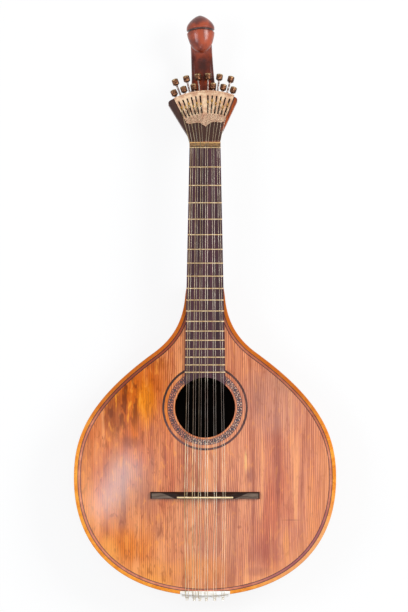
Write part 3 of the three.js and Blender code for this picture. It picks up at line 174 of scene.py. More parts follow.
# %% A finish in layers
class Finish(Graph):
    """One material. It keeps the colour made so far, so that more can be laid over it."""

    def __init__(self, name, roughness=0.5, metallic=0.0, **sockets):
        self.material = bpy.data.materials.new(name)
        self.material.use_nodes = True
        super().__init__(self.material.node_tree)
        self.shader = self.tree.nodes["Principled BSDF"]
        self.surface("Roughness", roughness)
        self.surface("Metallic", metallic)
        for socket, value in sockets.items():
            self.surface(socket.replace("_", " "), value)
        coordinates = self.node("TexCoord").outputs["Object"]
        self.place = self.stretched((1 / MM,) * 3, coordinates)
        self.x, self.y, self.z = self.axes(self.place)

    def surface(self, socket, value):
        self.feed(self.shader.inputs[socket], value)

    def ground(self, factor, a, b):
        """The first colour, mixed from two."""
        self.colour = self.mix(factor, a, b)
        self.surface("Base Color", self.colour)

    def paint(self, amount, tint, blend="MIX"):
        """Another colour over what is there, as strong as the amount."""
        self.colour = self.mix(amount, self.colour, tint, blend)
        self.surface("Base Color", self.colour)

    def stretched(self, scale, place, turn=(0, 0, 0)):
        inputs = {"Vector": place, "Scale": scale, "Rotation": turn}
        return self.node("Mapping", inputs).outputs["Vector"]

    def axes(self, place):
        return self.node("SeparateXYZ", {"Vector": place}).outputs

    def axes_from(self, origin, turn):
        """The axes read from another origin and turned by three angles."""
        moved = self.node("VectorMath", {0: self.place, 1: origin}, operation="SUBTRACT")
        return self.axes(self.stretched((1, 1, 1), moved.outputs["Vector"], turn))

    def noise(self, scale, place=None, detail=2.0, warp=0.0):
        """Cloudy noise. Scale says how many clouds fit in a millimetre along X, Y and Z."""
        stretched = self.stretched(scale, place or self.place)
        inputs = {"Vector": stretched, "Scale": 1.0, "Detail": detail, "Distortion": warp}
        return self.node("TexNoise", inputs).outputs["Fac"]

    def spot(self, centre, size, ragged=0.35):
        """A soft patch round a place of the surface, with a ragged edge."""
        reach = self.oval(self.x, self.y, centre, size)
        edge = self.times(self.noise((0.09, 0.03, 0.03), detail=3), 2 * ragged)
        return self.between(self.plus(reach, edge), 1 + ragged, ragged / 2)

    def bump(self, height, distance):
        """Relief in the surface. Distance is the relief's full height in millimetres."""
        made = self.node("Bump", {"Height": height, "Distance": distance * MM, "Strength": 1.0})
        self.surface("Normal", made.outputs["Normal"])


print("finishes can be mixed")

# %% [markdown]
# ## Studio
# A white table and soft light from above suit a varnished instrument. The world lights
# everything evenly, and a large lamp on the treble side gives the bevels their light and
# dark sides, with a weaker bluish one opposite. Varnish mirrors what is above it, so two
# dim lamps hang where the camera sees their reflections: one lays a cool haze beside the
# bridge, the other the pale sheen on the bass side. The camera and the reflections see
# the world as plain white, and the table glows a little so that its shadows stay soft.

# %% World, lamps and table
AMBIENT = 0.5
WHITE = (1, 1, 1, 1)
TABLE_SIZE = 6000
TABLE_GAP = 0.2
TABLE_GLOW = 0.87


def white_where_seen(graph):
    """A factor that is 1 for camera, glossy and transmission rays."""
    rays = graph.node("LightPath").outputs
    seen = graph.larger(rays["Is Camera Ray"], rays["Is Glossy Ray"])
    return graph.larger(seen, rays["Is Transmission Ray"])


world = bpy.data.worlds.new("studio")
world.use_nodes = True
bpy.context.scene.world = world
sky = Graph(world.node_tree)
light = {"Value": white_where_seen(sky), "To Min": AMBIENT, "To Max": 1.0}
background = sky.tree.nodes["Background"]
sky.feed(background.inputs["Color"], WHITE)
sky.feed(background.inputs["Strength"], sky.node("MapRange", light).outputs["Result"])


def lamp(name, place, aim, size, power, colour=(1, 1, 1)):
    data = bpy.data.lights.new(name, "AREA")
    data.color = colour
    data.shape = "RECTANGLE"
    data.size, data.size_y = (side * MM for side in size)
    data.energy = power
    obj = bpy.data.objects.new(name, data)
    obj.location = Vector(place) * MM
    obj.rotation_euler = (Vector(aim) - Vector(place)).to_track_quat("-Z", "Y").to_euler()
    obj.visible_camera = False
    bpy.context.collection.objects.link(obj)


lamp("key_lamp", (1500, 900, 1700), (0, 150, 70), (1000, 1000), 34)
lamp("window_lamp", (-1300, 500, 1800), (0, 200, 70), (800, 800), 14, (0.86, 0.91, 1))
lamp("sky_lamp", (61, -42, 1074), (55, -10, 74), (256, 248), 0.45, (0.72, 0.85, 1))
lamp("sheen_lamp", (-122, 1, 574), (-114, 14, 74), (30, 92), 0.25, (0.6, 0.82, 1))

table_finish = Finish("table", roughness=0.9, Base_Color=rgb("f4f4f5"))
glow = table_finish.node("Emission", {"Color": WHITE}).outputs["Emission"]
glow_share = table_finish.times(white_where_seen(table_finish), TABLE_GLOW)
glowing = table_finish.node(
    "MixShader", {0: glow_share, 1: table_finish.shader.outputs["BSDF"], 2: glow})
table_output = table_finish.tree.nodes["Material Output"].inputs["Surface"]
table_finish.feed(table_output, glowing.outputs["Shader"])

bpy.ops.mesh.primitive_plane_add(size=TABLE_SIZE * MM, location=(0, 0, -TABLE_GAP * MM))
table = bpy.context.object
table.name = "table"
table.data.materials.append(table_finish.material)
print("studio ready")

# %% [markdown]
# ## Making meshes from sections
# Nearly every piece of a guitar is a section carried along a line: a strip bent round the
# body, a neck, a fret, a string. So the main tool is a skin over rings of points. The
# other is a slab: an outline with holes, given a thickness.

# %% Turns, steps and mirrored points
def full_turn(steps):
    """Angles that share a full turn evenly."""
    return [2 * math.pi * k / steps for k in range(steps)]


def spaced(end, steps):
    """Evenly spaced values from nothing up to an end, both included."""
    return [end * k / steps for k in range(steps + 1)]


def lerp(a, b, t):
    return a + (b - a) * t


def mirrored(points):
    """The same points on the other side, in the order that leads back."""
    return [(-x, *rest) for x, *rest in reversed(points)]


def oblong(a, b, low, high):
    """The four corners of a plain section, in the order that leads round."""
    return [(a, low), (a, high), (b, high), (b, low)]


def ring_at(x, section):
    """A section of Y and Z as a ring of points at one X."""
    return [(x, y, z) for y, z in section]


print("a half turn in four steps:", [round(t, 2) for t in spaced(math.pi, 4)])

# %% Skins and slabs
def skin(rings, closed_path=False, bent_ends=False):
    """Points and faces over rings of equal count, with both ends closed.

    A bent end can't be one flat face, so it is closed by a ladder of four-sided ones.
    """
    count = len(rings[0])
    points = [tuple(p) for ring in rings for p in ring]
    faces = []
    for i in range(len(rings) if closed_path else len(rings) - 1):
        a, b = i * count, (i + 1) % len(rings) * count
        for k in range(count):
            n = (k + 1) % count
            faces.append((a + k, a + n, b + n, b + k))
    for start in () if closed_path else (0, len(points) - count):
        if bent_ends:
            faces += [(start + k, start + k + 1, start + count - 2 - k, start + count - 1 - k)
                      for k in range(count // 2 - 1)]
        else:
            faces.append(tuple(range(start, start + count)))
    return points, faces


def slab(outline, holes, low, high):
    """Points and faces of a flat piece with holes between two levels."""
    loops = [list(outline)] + [list(hole) for hole in holes]
    flat = [(x, y) for loop in loops for x, y in loop]
    count = len(flat)
    triangles = tessellate_polygon([[Vector((x, y, 0)) for x, y in loop] for loop in loops])
    points = [(x, y, high) for x, y in flat] + [(x, y, low) for x, y in flat]
    faces = [tuple(t) for t in triangles]
    faces += [tuple(count + i for i in reversed(t)) for t in triangles]
    start = 0
    for loop in loops:
        for k in range(len(loop)):
            a, b = start + k, start + (k + 1) % len(loop)
            faces.append((a, b, count + b, count + a))
        start += len(loop)
    return points, faces


print("faces of a triangular slab:", len(slab([(0, 0), (9, 0), (0, 9)], [], 0, 1)[1]))

# %% Turned shapes, wires and joined shapes
def turned(profile, steps=20, closed_profile=False):
    """A profile of radius and height turned round the Z axis."""
    rings = [[(r * math.cos(t), r * math.sin(t), h) for r, h in profile] for t in full_turn(steps)]
    if closed_profile:
        return skin(rings, closed_path=True)
    count = len(profile)
    points = [p for ring in rings for p in ring]
    faces = []
    for k in range(steps):
        a, b = k * count, (k + 1) % steps * count
        faces += [(a + i, b + i, b + i + 1, a + i + 1) for i in range(count - 1)]
    return points, faces


def tube(path, radius, sides):
    """A round wire along a path of points."""
    path = [Vector(p) for p in path]
    ahead = [(path[min(i + 1, len(path) - 1)] - path[max(i - 1, 0)]).normalized()
             for i in range(len(path))]
    across = ahead[0].orthogonal().normalized()
    rings = []
    for point, direction in zip(path, ahead):
        across = (across - across.dot(direction) * direction).normalized()
        up = direction.cross(across)
        rings.append([point + radius * (math.cos(t) * across + math.sin(t) * up)
                      for t in full_turn(sides)])
    return skin(rings)


def joined(*shapes):
    """Several shapes as one list of points and one of faces."""
    points, faces = [], []
    for more_points, more_faces in shapes:
        faces += [tuple(i + len(points) for i in face) for face in more_faces]
        points += more_points
    return points, faces


def placed(matrix, shape):
    points, faces = shape
    return [tuple(matrix @ Vector(p)) for p in points], faces


def bent(start, pull, end, steps=8):
    """Points of a simple curve that is pulled to one side, without its first point."""
    curve = []
    for i in range(1, steps + 1):
        t = i / steps
        s = 1 - t
        curve.append(tuple(s * s * a + 2 * s * t * b + t * t * c
                           for a, b, c in zip(start, pull, end)))
    return curve


print("faces of a wire through three points:", len(tube([(0, 0, 0), (0, 0, 5), (0, 3, 9)], 1, 8)[1]))

# %% Turn a shape into a piece
SMOOTH_BELOW = 32  # degrees
SAME_POINT = 1e-7


def real_object(name, shape, finishes=(), zones=None):
    """An object from points in millimetres. Points that coincide become one."""
    mesh = bpy.data.meshes.new(name)
    points, faces = shape
    mesh.from_pydata([Vector(p) * MM for p in points], [], faces)
    for finish in finishes:
        mesh.materials.append(finish.material)
    if zones:
        mesh.polygons.foreach_set("material_index", zones)
    form = bmesh.new()
    form.from_mesh(mesh)
    bmesh.ops.remove_doubles(form, verts=form.verts, dist=SAME_POINT)
    bmesh.ops.recalc_face_normals(form, faces=form.faces)
    form.to_mesh(mesh)
    form.free()
    obj = bpy.data.objects.new(name, mesh)
    bpy.context.collection.objects.link(obj)
    return obj


def piece(name, shape, finishes, rides="instrument", stands_for=(), zones=None):
    """An object that rides on a body of the frame and may stand for some of its nodes."""
    finishes = finishes if isinstance(finishes, (list, tuple)) else [finishes]
    obj = real_object(name, shape, finishes, zones)
    obj.data.polygons.foreach_set("use_smooth", [True] * len(obj.data.polygons))
    obj.data.set_sharp_from_angle(angle=math.radians(SMOOTH_BELOW))
    if rides:
        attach(obj, rides)
    if stands_for:
        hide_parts(*stands_for)
    return obj


def ease_edges(obj, width, steps=2, above=30):
    """Rounds the sharp edges of a finished piece, as sandpaper does."""
    bevel = obj.modifiers.new("eased_edges", "BEVEL")
    bevel.width = width * MM
    bevel.segments = steps
    bevel.limit_method = "ANGLE"
    bevel.angle_limit = math.radians(above)
    bevel.harden_normals = True


def dress(node, finish, ease=0.0):
    """Gives a node of the frame its finish, and eased edges if asked for."""
    obj = frame["nodes"][node]
    obj.data.materials.clear()
    obj.data.materials.append(finish.material)
    if ease:
        ease_edges(obj, ease)


print("edges sharper than", SMOOTH_BELOW, "degrees stay crisp")

# %% [markdown]
# ## The body's outline
# The pear shape is three curves on each side: a hollow one off the neck, a full one round
# the shoulder, and a wide one round the tail. Each is a cubic with its handles set as
# shares of the body's size, the same shares that the construction model uses.

# %% Outline
BODY_LENGTH = 394
BODY_WIDTH = 336
BODY_DEPTH = 74
TAIL_Y = -126
JOINT_Y = TAIL_Y + BODY_LENGTH
NECK_END_WIDTH = 50.4
NECK_END_EASED, NECK_END_REACH = 1.3, 14  # the edge is rounded off where it meets the neck
SHOULDER_SHARES = (0.4, 0.787)
SHOULDER_SLOPE = math.radians(36)
WIDEST_SHARE = 0.382
OUTLINE_STEPS = (26, 34, 44)
NECK_HANDLE, WIDEST_HANDLES, TAIL_HANDLE = 0.122, (0.115, 0.27), 0.516
SHOULDER_HANDLES = (0.06, 0.2825)


def outline_arcs():
    half = BODY_WIDTH / 2
    up = Vector((0, BODY_LENGTH))
    slope = Vector((math.cos(-SHOULDER_SLOPE), math.sin(-SHOULDER_SLOPE))) * BODY_LENGTH
    neck_end = Vector((NECK_END_WIDTH / 2, JOINT_Y))
    shoulder = Vector((SHOULDER_SHARES[0] * half, TAIL_Y + SHOULDER_SHARES[1] * BODY_LENGTH))
    widest = Vector((half, TAIL_Y + WIDEST_SHARE * BODY_LENGTH))
    tail = Vector((0, TAIL_Y))
    return [
        (neck_end, neck_end - NECK_HANDLE * up, shoulder - SHOULDER_HANDLES[0] * slope, shoulder),
        (shoulder, shoulder + SHOULDER_HANDLES[1] * slope, widest + WIDEST_HANDLES[0] * up, widest),
        (widest, widest - WIDEST_HANDLES[1] * up, Vector((TAIL_HANDLE * half, TAIL_Y)), tail),
    ]


def half_outline(inset=0.0):
    """The treble half from the neck to the tail, drawn in by an inset."""
    points = []
    for n, (a, b, c, d) in enumerate(outline_arcs()):
        for i in range(0 if n == 0 else 1, OUTLINE_STEPS[n] + 1):
            t = i / OUTLINE_STEPS[n]
            s = 1 - t
            place = s**3 * a + 3 * s * s * t * b + 3 * s * t * t * c + t**3 * d
            way = (s * s * (b - a) + 2 * s * t * (c - b) + t * t * (d - c)).normalized()
            points.append(place + inset * Vector((way.y, -way.x)))
    points[0].y = JOINT_Y
    points[-1].x = 0
    for point in points:
        near = max(0, 1 - (JOINT_Y - point.y) / NECK_END_REACH)
        point.x -= NECK_END_EASED * near * near
    return points


def whole_outline(inset=0.0):
    half = half_outline(inset)
    return [tuple(p) for p in half] + mirrored(half[:-1])


def bent_strip(section, side=None):
    """A section of (inset, level) points carried round the body, or along one side."""
    lines = [half_outline(inset) for inset, _ in section]
    levels = [z for _, z in section]
    treble = [[(line[i].x, line[i].y, z) for line, z in zip(lines, levels)]
              for i in range(len(lines[0]))]
    bass = [[(-x, y, z) for x, y, z in ring] for ring in treble]
    if side:
        return skin(treble if side == "treble" else bass)
    return skin(treble + bass[-2::-1])


def tail_edge(x):
    """The outline's lower edge at a given X near the tail."""
    points = half_outline()
    for a, b in zip(points, points[1:]):
        if a.y < 0 and a.x >= abs(x) >= b.x:
            return a.y + (b.y - a.y) * (a.x - abs(x)) / max(a.x - b.x, 1e-9)
    return TAIL_Y


def circle(radius, y, steps):
    return [(radius * math.cos(t), y + radius * math.sin(t)) for t in full_turn(steps)]


print("outline points:", len(whole_outline()))

# %% [markdown]
# ## The soundboard's finish
# Old amber varnish on spruce shows three things at three scales: year rings a little over
# two millimetres apart, cloudy colour that runs from salmon to bright orange with some
# wine-red stains, and small dents. An image would be the quick way. A formula stays sharp
# from any distance: the rings are the fractional part of a wandering X, and every stain is
# a soft spot with a ragged edge.

# %% Rings, stains and a scratch
RING_SPACING = 2.4
PALE_RING, DARK_RING = "f0a06c", "742c10"
STAINS = (  # centre, size, colour, strength
    ((12, -66), (44, 64), "f2a878", 0.4),
    ((-92, 146), (54, 70), "cc6000", 0.92),
    ((-118, 112), (17, 46), "8a3a0c", 0.75),
    ((-76, 120), (15, 38), "f08804", 0.9),
    ((-48, 112), (9, 34), "e47c10", 0.8),
    ((-90, 90), (6, 34), "dc6c04", 0.85),
    ((-96, 70), (18, 10), "7e3c28", 0.5),
    ((-62, 172), (18, 12), "9c4804", 0.6),
    ((-104, -64), (50, 32), "e07608", 0.85),
    ((-62, -92), (36, 16), "f09844", 0.6),
    ((-150, -10), (12, 60), "ee9240", 0.6),
    ((-124, -76), (18, 34), "f8a446", 0.75),
    ((-74, -110), (46, 14), "f8a248", 0.7),
    ((-6, -94), (46, 28), "f69a48", 0.6),
    ((-110, 14), (32, 62), "b06c40", 0.6),
    ((-80, 18), (16, 34), "b87450", 0.55),
    ((-68, 42), (5, 30), "94503c", 0.5),
    ((-70, -4), (18, 34), "a05a46", 0.45),
    ((-60, -38), (9, 26), "a8563a", 0.5),
    ((-4, -64), (5, 22), "a8584a", 0.35),
    ((86, 124), (58, 60), "bc8878", 0.5),
    ((68, 132), (10, 36), "a06a58", 0.5),
    ((100, 150), (24, 22), "b07a60", 0.45),
    ((92, 38), (9, 52), "a85a44", 0.5),
    ((44, -38), (4, 3), "98482f", 0.6),
    ((57, 28), (5, 15), "8a4a40", 0.6),
    ((78, -70), (26, 26), "9c4434", 0.62),
    ((70, -95), (24, 8), "9a4c3c", 0.45),
    ((104, -60), (6, 28), "f6a050", 0.6),
    ((136, -10), (10, 60), "f0944c", 0.45),
    ((52, 46), (1.8, 18), "ffd080", 0.7),
)
SCRATCH = ((109, -29), (16, 0.6), "8a4632", 0.9)
RIM_CENTRE, RIM_SIZE = (0, 20), (168, 153)  # the oval along whose edge the varnish is paler
print("stains on the soundboard:", len(STAINS))

# %% Amber spruce
def amber_spruce():
    f = Finish("amber_spruce", Specular_IOR_Level=0.05, Coat_Roughness=0.15)
    x, y = f.x, f.y
    drift = f.times(f.noise((0.011, 0.003, 0)), 22)
    wander = f.times(f.noise((0.14, 0.008, 0)), 2.4)
    phase = f.calc("FRACT", f.calc("DIVIDE", f.plus(f.plus(x, drift), wander), RING_SPACING))
    ring = f.times(f.between(phase, 0.3, 0.8), f.between(phase, 1.0, 0.9))
    weight = f.between(f.noise((0.05, 0.01, 0)), 0.3, 0.7, 0.45, 1)
    fibre = f.noise((1.1, 0.02, 0.4), detail=3)
    f.ground(f.times(ring, weight), PALE_RING, DARK_RING)
    f.paint(f.between(fibre, 0.4, 0.66, 0, 0.6), "a85030")
    f.paint(f.between(x, 20, -110, 0, 0.55), "d87626")
    f.paint(f.between(x, -70, 110, 0, 0.35), "cc745c")
    clouds = f.noise((0.018, 0.006, 0), detail=3, warp=0.6)
    f.paint(f.between(clouds, 0.45, 0.7, 0, 0.5), "d9843c", "MULTIPLY")
    streaks = f.noise((0.09, 0.004, 0), detail=4, warp=0.3)
    f.paint(f.between(streaks, 0.52, 0.66, 0, 0.65), "904028")
    f.paint(f.between(streaks, 0.45, 0.33, 0, 0.6), "f4a468")
    for centre, size, tint, strength in (*STAINS, SCRATCH):
        grained = f.mix(f.times(ring, 0.45), tint, DARK_RING)
        f.paint(f.times(f.spot(centre, size), strength), grained)
    mottle = f.noise((0.2, 0.06, 0), detail=5, warp=0.8)
    bass_side = f.between(x, 70, -70, 0.5, 1)
    f.paint(f.times(f.between(mottle, 0.53, 0.7, 0, 0.5), bass_side), "843808")
    f.paint(f.times(f.between(mottle, 0.46, 0.3, 0, 0.4), bass_side), "f49a3c")
    shoulder = f.spot((-104, 126), (40, 56))
    wear_and_reflection = f.noise((0.12, 0.035, 0), detail=5, warp=0.5)
    f.paint(f.times(shoulder, f.between(wear_and_reflection, 0.45, 0.34, 0, 0.8)), "f49a2c")
    f.paint(f.times(shoulder, f.between(wear_and_reflection, 0.5, 0.6, 0, 0.85)), "642608")
    dents = f.between(f.noise((0.5, 0.11, 0), detail=1), 0.7, 0.76)
    f.paint(f.times(dents, f.between(x, 40, -100, 0.25, 0.8)), "963c18")
    rim = f.between(f.oval(x, y, RIM_CENTRE, RIM_SIZE), 0.68, 0.86, 0, 0.22)
    f.paint(f.times(rim, f.between(y, 100, 40)), "ffa85c")
    dull = f.larger(f.spot((-84, 154), (80, 68)), f.spot((-96, -116), (90, 36)))
    f.surface("Coat Weight", f.between(dull, 0, 1, 0.5, 0.08))
    f.surface("Roughness", f.between(mottle, 0.3, 0.7, 0.42, 0.6))
    f.bump(f.minus(f.times(fibre, 0.5), dents), 0.05)
    return f


spruce = amber_spruce()
print("nodes in the soundboard's finish:", len(spruce.tree.nodes))

# %% [markdown]
# ## The other woods
# The remaining woods differ in colour, in the direction of their streaks and in gloss.
# One function mixes a pale and a deep colour by stretched noise and adds short dark pores.
# Each wood then gets what is special to it: the back's two halves, for one, mirror each
# other, as they do when a plank is sawn through and opened like a book.

# %% Woods of the sides and edges
def streaked(name, pale, deep, stretch, roughness, pore_tint, clouds=0.4, **sockets):
    """A wood with streaks, broad clouds and short pores."""
    f = Finish(name, roughness, **sockets)
    streak = f.noise(stretch, detail=4, warp=0.5)
    f.ground(f.between(streak, 0.32, 0.68), pale, deep)
    cloud = f.noise([s * 0.12 + 0.004 for s in stretch], detail=2)
    f.paint(f.between(cloud, 0.35, 0.7, 0, clouds), deep, "MULTIPLY")
    fine = f.noise([s * 5 for s in stretch], detail=2)
    pores = f.between(fine, 0.6, 0.7)
    f.paint(f.times(pores, 0.55), pore_tint)
    f.bump(f.minus(f.times(streak, 0.4), pores), 0.04)
    return f


def edge_binding():
    """Orange wood, browner round the shoulders and faded low on the treble side."""
    f = streaked("binding_wood", "f7a63a", "e28420", (0.1, 0.1, 0.6), 0.32, "a8541a", clouds=0.3,
                 Specular_IOR_Level=0.15)
    f.paint(f.between(f.y, 60, 150, 0, 0.85), "b45408")
    f.paint(f.times(f.between(f.x, 30, 130), f.between(f.y, 20, -60, 0, 0.6)), "e8a878")
    return f


def border_wood(name, pale, deep, pore_tint, at_shoulder, at_bottom):
    """Inlaid lines and band: deeper in colour round the shoulders and low on the treble side."""
    f = streaked(name, pale, deep, (0.1, 0.1, 0.6), 0.4, pore_tint, Specular_IOR_Level=0.25)
    x, y = f.x, f.y
    up = f.plus(y, f.times(x, 0.125))
    f.paint(f.times(f.between(up, 60, 125), f.between(x, 60, -60, 0.5, 0.95)), at_shoulder)
    f.paint(f.times(f.between(x, 20, 110, 0, 0.75), f.between(y, 10, -40)), at_bottom)
    return f


binding_wood = edge_binding()
line_wood = border_wood("dark_line", "7c5048", "5a3836", "3c2426", "280e04", "50303a")
band_wood = border_wood("red_band", "e2926e", "c47456", "9a523e", "802e10", "8c4a54")
side_wood = streaked(
    "side_wood", "b0602a", "743614", (0.012, 0.012, 0.35), 0.3, "42200e",
    Specular_IOR_Level=0.35, Coat_Weight=0.25)
print("nodes in a streaked wood:", len(side_wood.tree.nodes))

# %% Woods of the back, neck and bridge
def bookmatched_back():
    """Two halves opened like a book: the figure is read from the distance to the middle."""
    f = Finish("back_wood", roughness=0.28, Coat_Weight=0.4)
    x, y = f.x, f.y
    opened = f.node("CombineXYZ", {"X": f.off(x), "Y": y}).outputs["Vector"]
    streak = f.noise((0.16, 0.007, 0), opened, detail=5, warp=0.5)
    figure = f.noise((0.012, 0.03, 0), opened, detail=1)
    f.ground(f.between(streak, 0.32, 0.68), "b06a33", "7a3d1b")
    f.paint(f.between(figure, 0.4, 0.7, 0, 0.3), "c98040")
    pores = f.between(f.noise((2.0, 0.08, 0), opened), 0.62, 0.7, 0, 0.5)
    f.paint(pores, "43200f")
    f.paint(f.between(f.off(x), 0.6, 0.4), "3a2016")
    f.bump(f.minus(f.times(streak, 0.4), pores), 0.04)
    return f


back_wood = bookmatched_back()
# Painted shade: near black for the inside of the box, where little light falls.
unlit_wood = streaked(
    "inside_of_back", "160e0a", "0c0806", (0.3, 0.02, 0.3), 0.9, "0a0604", Specular_IOR_Level=0.05)
inner_wood = streaked(
    "inner_wood", "6b4a2c", "4a2f1a", (0.4, 0.02, 0.4), 0.8, "2c1a0e", Specular_IOR_Level=0.15)
fingerboard_wood = streaked(
    "fingerboard_wood", "56303a", "361c24", (0.7, 0.015, 0.7), 0.42, "1c1014",
    Specular_IOR_Level=0.25)


def bridge_finish():
    """Nearly black rosewood. The wings carry a painted grey reflection on top, in a sweep toward the
    saddle.
    """
    f = streaked(
        "bridge_wood", "301a12", "180c08", (0.02, 0.6, 0.6), 0.45, "0c0604",
        Specular_IOR_Level=0.12)
    out = f.off(f.x)
    sweep = f.between(out, 33, 59, -2.2, 5.8)
    # Painted reflection: grey on the flat tops of the wings, where the varnish mirrors the light above.
    wear_and_reflection = f.times(f.between(f.minus(sweep, f.y), -0.3, 0.5), f.between(out, 68.6, 67.8))
    cloud = f.noise((0.06, 0.5, 0.5), detail=3)
    grey = f.mix(f.between(cloud, 0.35, 0.65), "7c6a5c", "54443a")
    f.paint(f.times(wear_and_reflection, 0.9), grey)
    return f


bridge_wood = bridge_finish()
neck_wood = streaked(
    "neck_wood", "8f421f", "4f1d10", (0.35, 0.018, 0.35), 0.24, "2c0f08",
    Coat_Weight=0.4, Coat_Roughness=0.12)
print("nodes in the back's finish:", len(back_wood.tree.nodes))

# %% [markdown]
# ## Stain and painted shade on the head, bone, and metals
# The head is the neck's wood under a dark stain on its face. The same dark colour lies on the
# bass cheek as painted shade, while the treble cheek is left bare so that it looks lit. The
# colour is masked by the distance from the head's face and from the treble cheek. Bone is
# nearly white with yellowed clouds. The metals are old: each has a bright and a tarnished
# colour, mixed by noise, and the roughness follows the tarnish. The strings are painted darker
# over the frets and the hole, as painted shade for the dark wood and the hole beneath them.

# %% Head and finial woods
HEAD_START_Y = 455.0
HEAD_TILT = math.radians(12)
HEAD_LEAN = math.radians(3)
CHEEK_SLOPE = 0.43
STAIN_AND_SHADE_DEPTH = 7
FAN_SETBACK = 28.6
FAN_OFFSET = 1.9  # the fan sits a little to the treble side of the head's own middle
DROP_START = 115.3
DROP_LENGTH = 50
DROP_RADIUS = 17.9
GROOVE_AT, GROOVE_DEPTH, GROOVE_HALF_WIDTH, GROOVE_ARCH = 29.6, 1.7, 1.95, 1.4
HEAD_ORIGIN = (0, HEAD_START_Y, BODY_DEPTH)
HEAD_TURN = (HEAD_TILT, 0, -HEAD_LEAN)
HOLLOW_CENTRE, HOLLOW_SIZE = (0, 103), (9, 10)  # the painted shadow under the drop's tip
POCKET_EDGE = (math.radians(23.5), math.radians(23.2))
STAIN_AND_SHADE_EDGE = 17.5  # from the head's middle line to the edge of the stain and painted shade at the nut


def head_place(f):
    """Places across and along the head, from the middle of its joint with the neck."""
    x, v, _ = f.axes_from(HEAD_ORIGIN, HEAD_TURN)
    return f.minus(x, FAN_OFFSET), v


def fan_place(f):
    """Radius and angle round the point where the twelve screws would meet."""
    x, v = head_place(f)
    v = f.plus(v, FAN_SETBACK)
    radius = f.calc("SQRT", f.plus(f.times(x, x), f.times(v, v)))
    return radius, f.calc("ARCTAN2", x, v)


def stained_and_shaded_head():
    f = streaked(
        "head_wood", "a84a12", "6c2808", (0.35, 0.03, 0.35), 0.36, "4a1808",
        Specular_IOR_Level=0.12)
    along = f.minus(f.y, HEAD_START_Y)
    cheek = f.minus(f.x, f.times(along, CHEEK_SLOPE))
    ragged = f.times(f.noise((0.2,) * 3, detail=3), 5)
    # Painted shade: the dark colour covers the face and the bass cheek and stops short of the treble
    # cheek, which is left bare as if lit.
    stain_and_shade = f.between(f.plus(cheek, ragged), STAIN_AND_SHADE_EDGE, STAIN_AND_SHADE_EDGE - 2)
    stain_and_shade = f.larger(stain_and_shade, f.between(along, 20, 12))
    face = f.minus(BODY_DEPTH, f.times(along, math.tan(HEAD_TILT)))
    depth = f.minus(face, f.z)
    near = f.between(depth, STAIN_AND_SHADE_DEPTH + 6, STAIN_AND_SHADE_DEPTH)
    f.paint(f.times(f.times(stain_and_shade, near), 0.94), "40302b")
    radius, angle = fan_place(f)
    # Painted shade: near black deep in the pocket, inside its rim below the plate's foot.
    pocket = f.times(f.between(depth, 2, 3), f.between(radius, 59, 60.5))
    pocket = f.times(pocket, f.between(f.off(angle), *POCKET_EDGE))
    f.paint(pocket, "100a08")
    return f


def finial_finish():
    """Glossy mahogany, bright on the drop, with painted light and shade: shade on the shaft, a highlight
    low on it, and near black in the groove and under the tip.
    """
    f = streaked(
        "finial_wood", "ae4822", "68200f", (0.07, 0.05, 0.07), 0.4, "5a1a10", clouds=0.4,
        Specular_IOR_Level=0.15, Coat_Roughness=0.22)
    x, v = head_place(f)
    f.surface("Coat Weight", f.between(v, 112, 122, 0.15, 0.75))
    # Painted shade: the shaft is darker behind the drop, and darker still on its flanks.
    shaft = f.between(v, 122, 106, 0, 0.75)
    f.paint(shaft, "42140c")
    flank = f.between(f.off(x), 5, 12, 0, 0.6)
    f.paint(f.times(flank, shaft), "280e0a")
    # Painted highlight: orange glints low on the shaft.
    glow = f.times(f.between(v, 100, 86), f.between(f.noise((0.12,) * 3), 0.4, 0.6, 0, 0.6))
    f.paint(glow, "9a3a14")
    # Painted shadow: nearly black under the drop's tip, where it hangs clear of the shaft.
    ragged = f.times(f.noise((0.15,) * 3, detail=3), 1.4)
    hollow = f.between(f.plus(f.oval(x, v, HOLLOW_CENTRE, HOLLOW_SIZE), ragged), 2, 0.4, 0, 0.75)
    f.paint(f.times(hollow, f.between(v, 117, 114)), "241210")
    # Painted shade: nearly black in the groove round the cap.
    arch = f.times(f.times(x, x), GROOVE_ARCH / DROP_RADIUS**2)
    off = f.off(f.plus(v, arch), DROP_START + GROOVE_AT)
    f.paint(f.between(off, 2.0, 0.8, 0, 0.9), "1e0e0c")
    return f


head_wood = stained_and_shaded_head()
finial_wood = finial_finish()
print("nodes in the head's finish:", len(head_wood.tree.nodes))

# %% Bone and metals
def old_bone(name, pale, yellowed, roughness):
    f = Finish(name, roughness)
    cloud = f.noise((0.12, 0.3, 0.3), detail=4, warp=0.5)
    f.ground(f.between(cloud, 0.4, 0.7), pale, yellowed)
    specks = f.between(f.noise((0.9, 1.4, 1.4), detail=2), 0.66, 0.74, 0, 0.6)
    f.paint(specks, "a88a62")
    f.bump(f.minus(cloud, specks), 0.05)
    return f


SHADE_OVER_HOLE, SHADE_OVER_FRETS = 0.84, 0.45  # painted shade: how dark the strings are over the hole and over the frets


def old_metal(name, bright, tarnished, low, high, grain=0.25, metallic=1.0, tint_over_dark=None):
    f = Finish(name, low, metallic)
    cloud = f.noise((grain,) * 3, detail=4, warp=0.4)
    tarnish = f.between(cloud, 0.38, 0.66)
    f.ground(tarnish, bright, tarnished)
    # Painted shade: darker where the strings pass over the dark hole and the dark fingerboard.
    if tint_over_dark:
        shade_over_dark = f.plus(f.between(f.y, 66, 78, 0, SHADE_OVER_HOLE),
                       f.between(f.y, 146, 154, 0, SHADE_OVER_FRETS - SHADE_OVER_HOLE))
        f.paint(shade_over_dark, tint_over_dark)
    f.surface("Roughness", f.between(tarnish, 0, 1, low, high))
    f.bump(f.noise((grain * 12, grain * 2, grain * 12), detail=2), 0.015)
    return f


ARC_DOT_ANGLE = math.radians(1.2)
ARC_DOT_RADIUS = 94.6


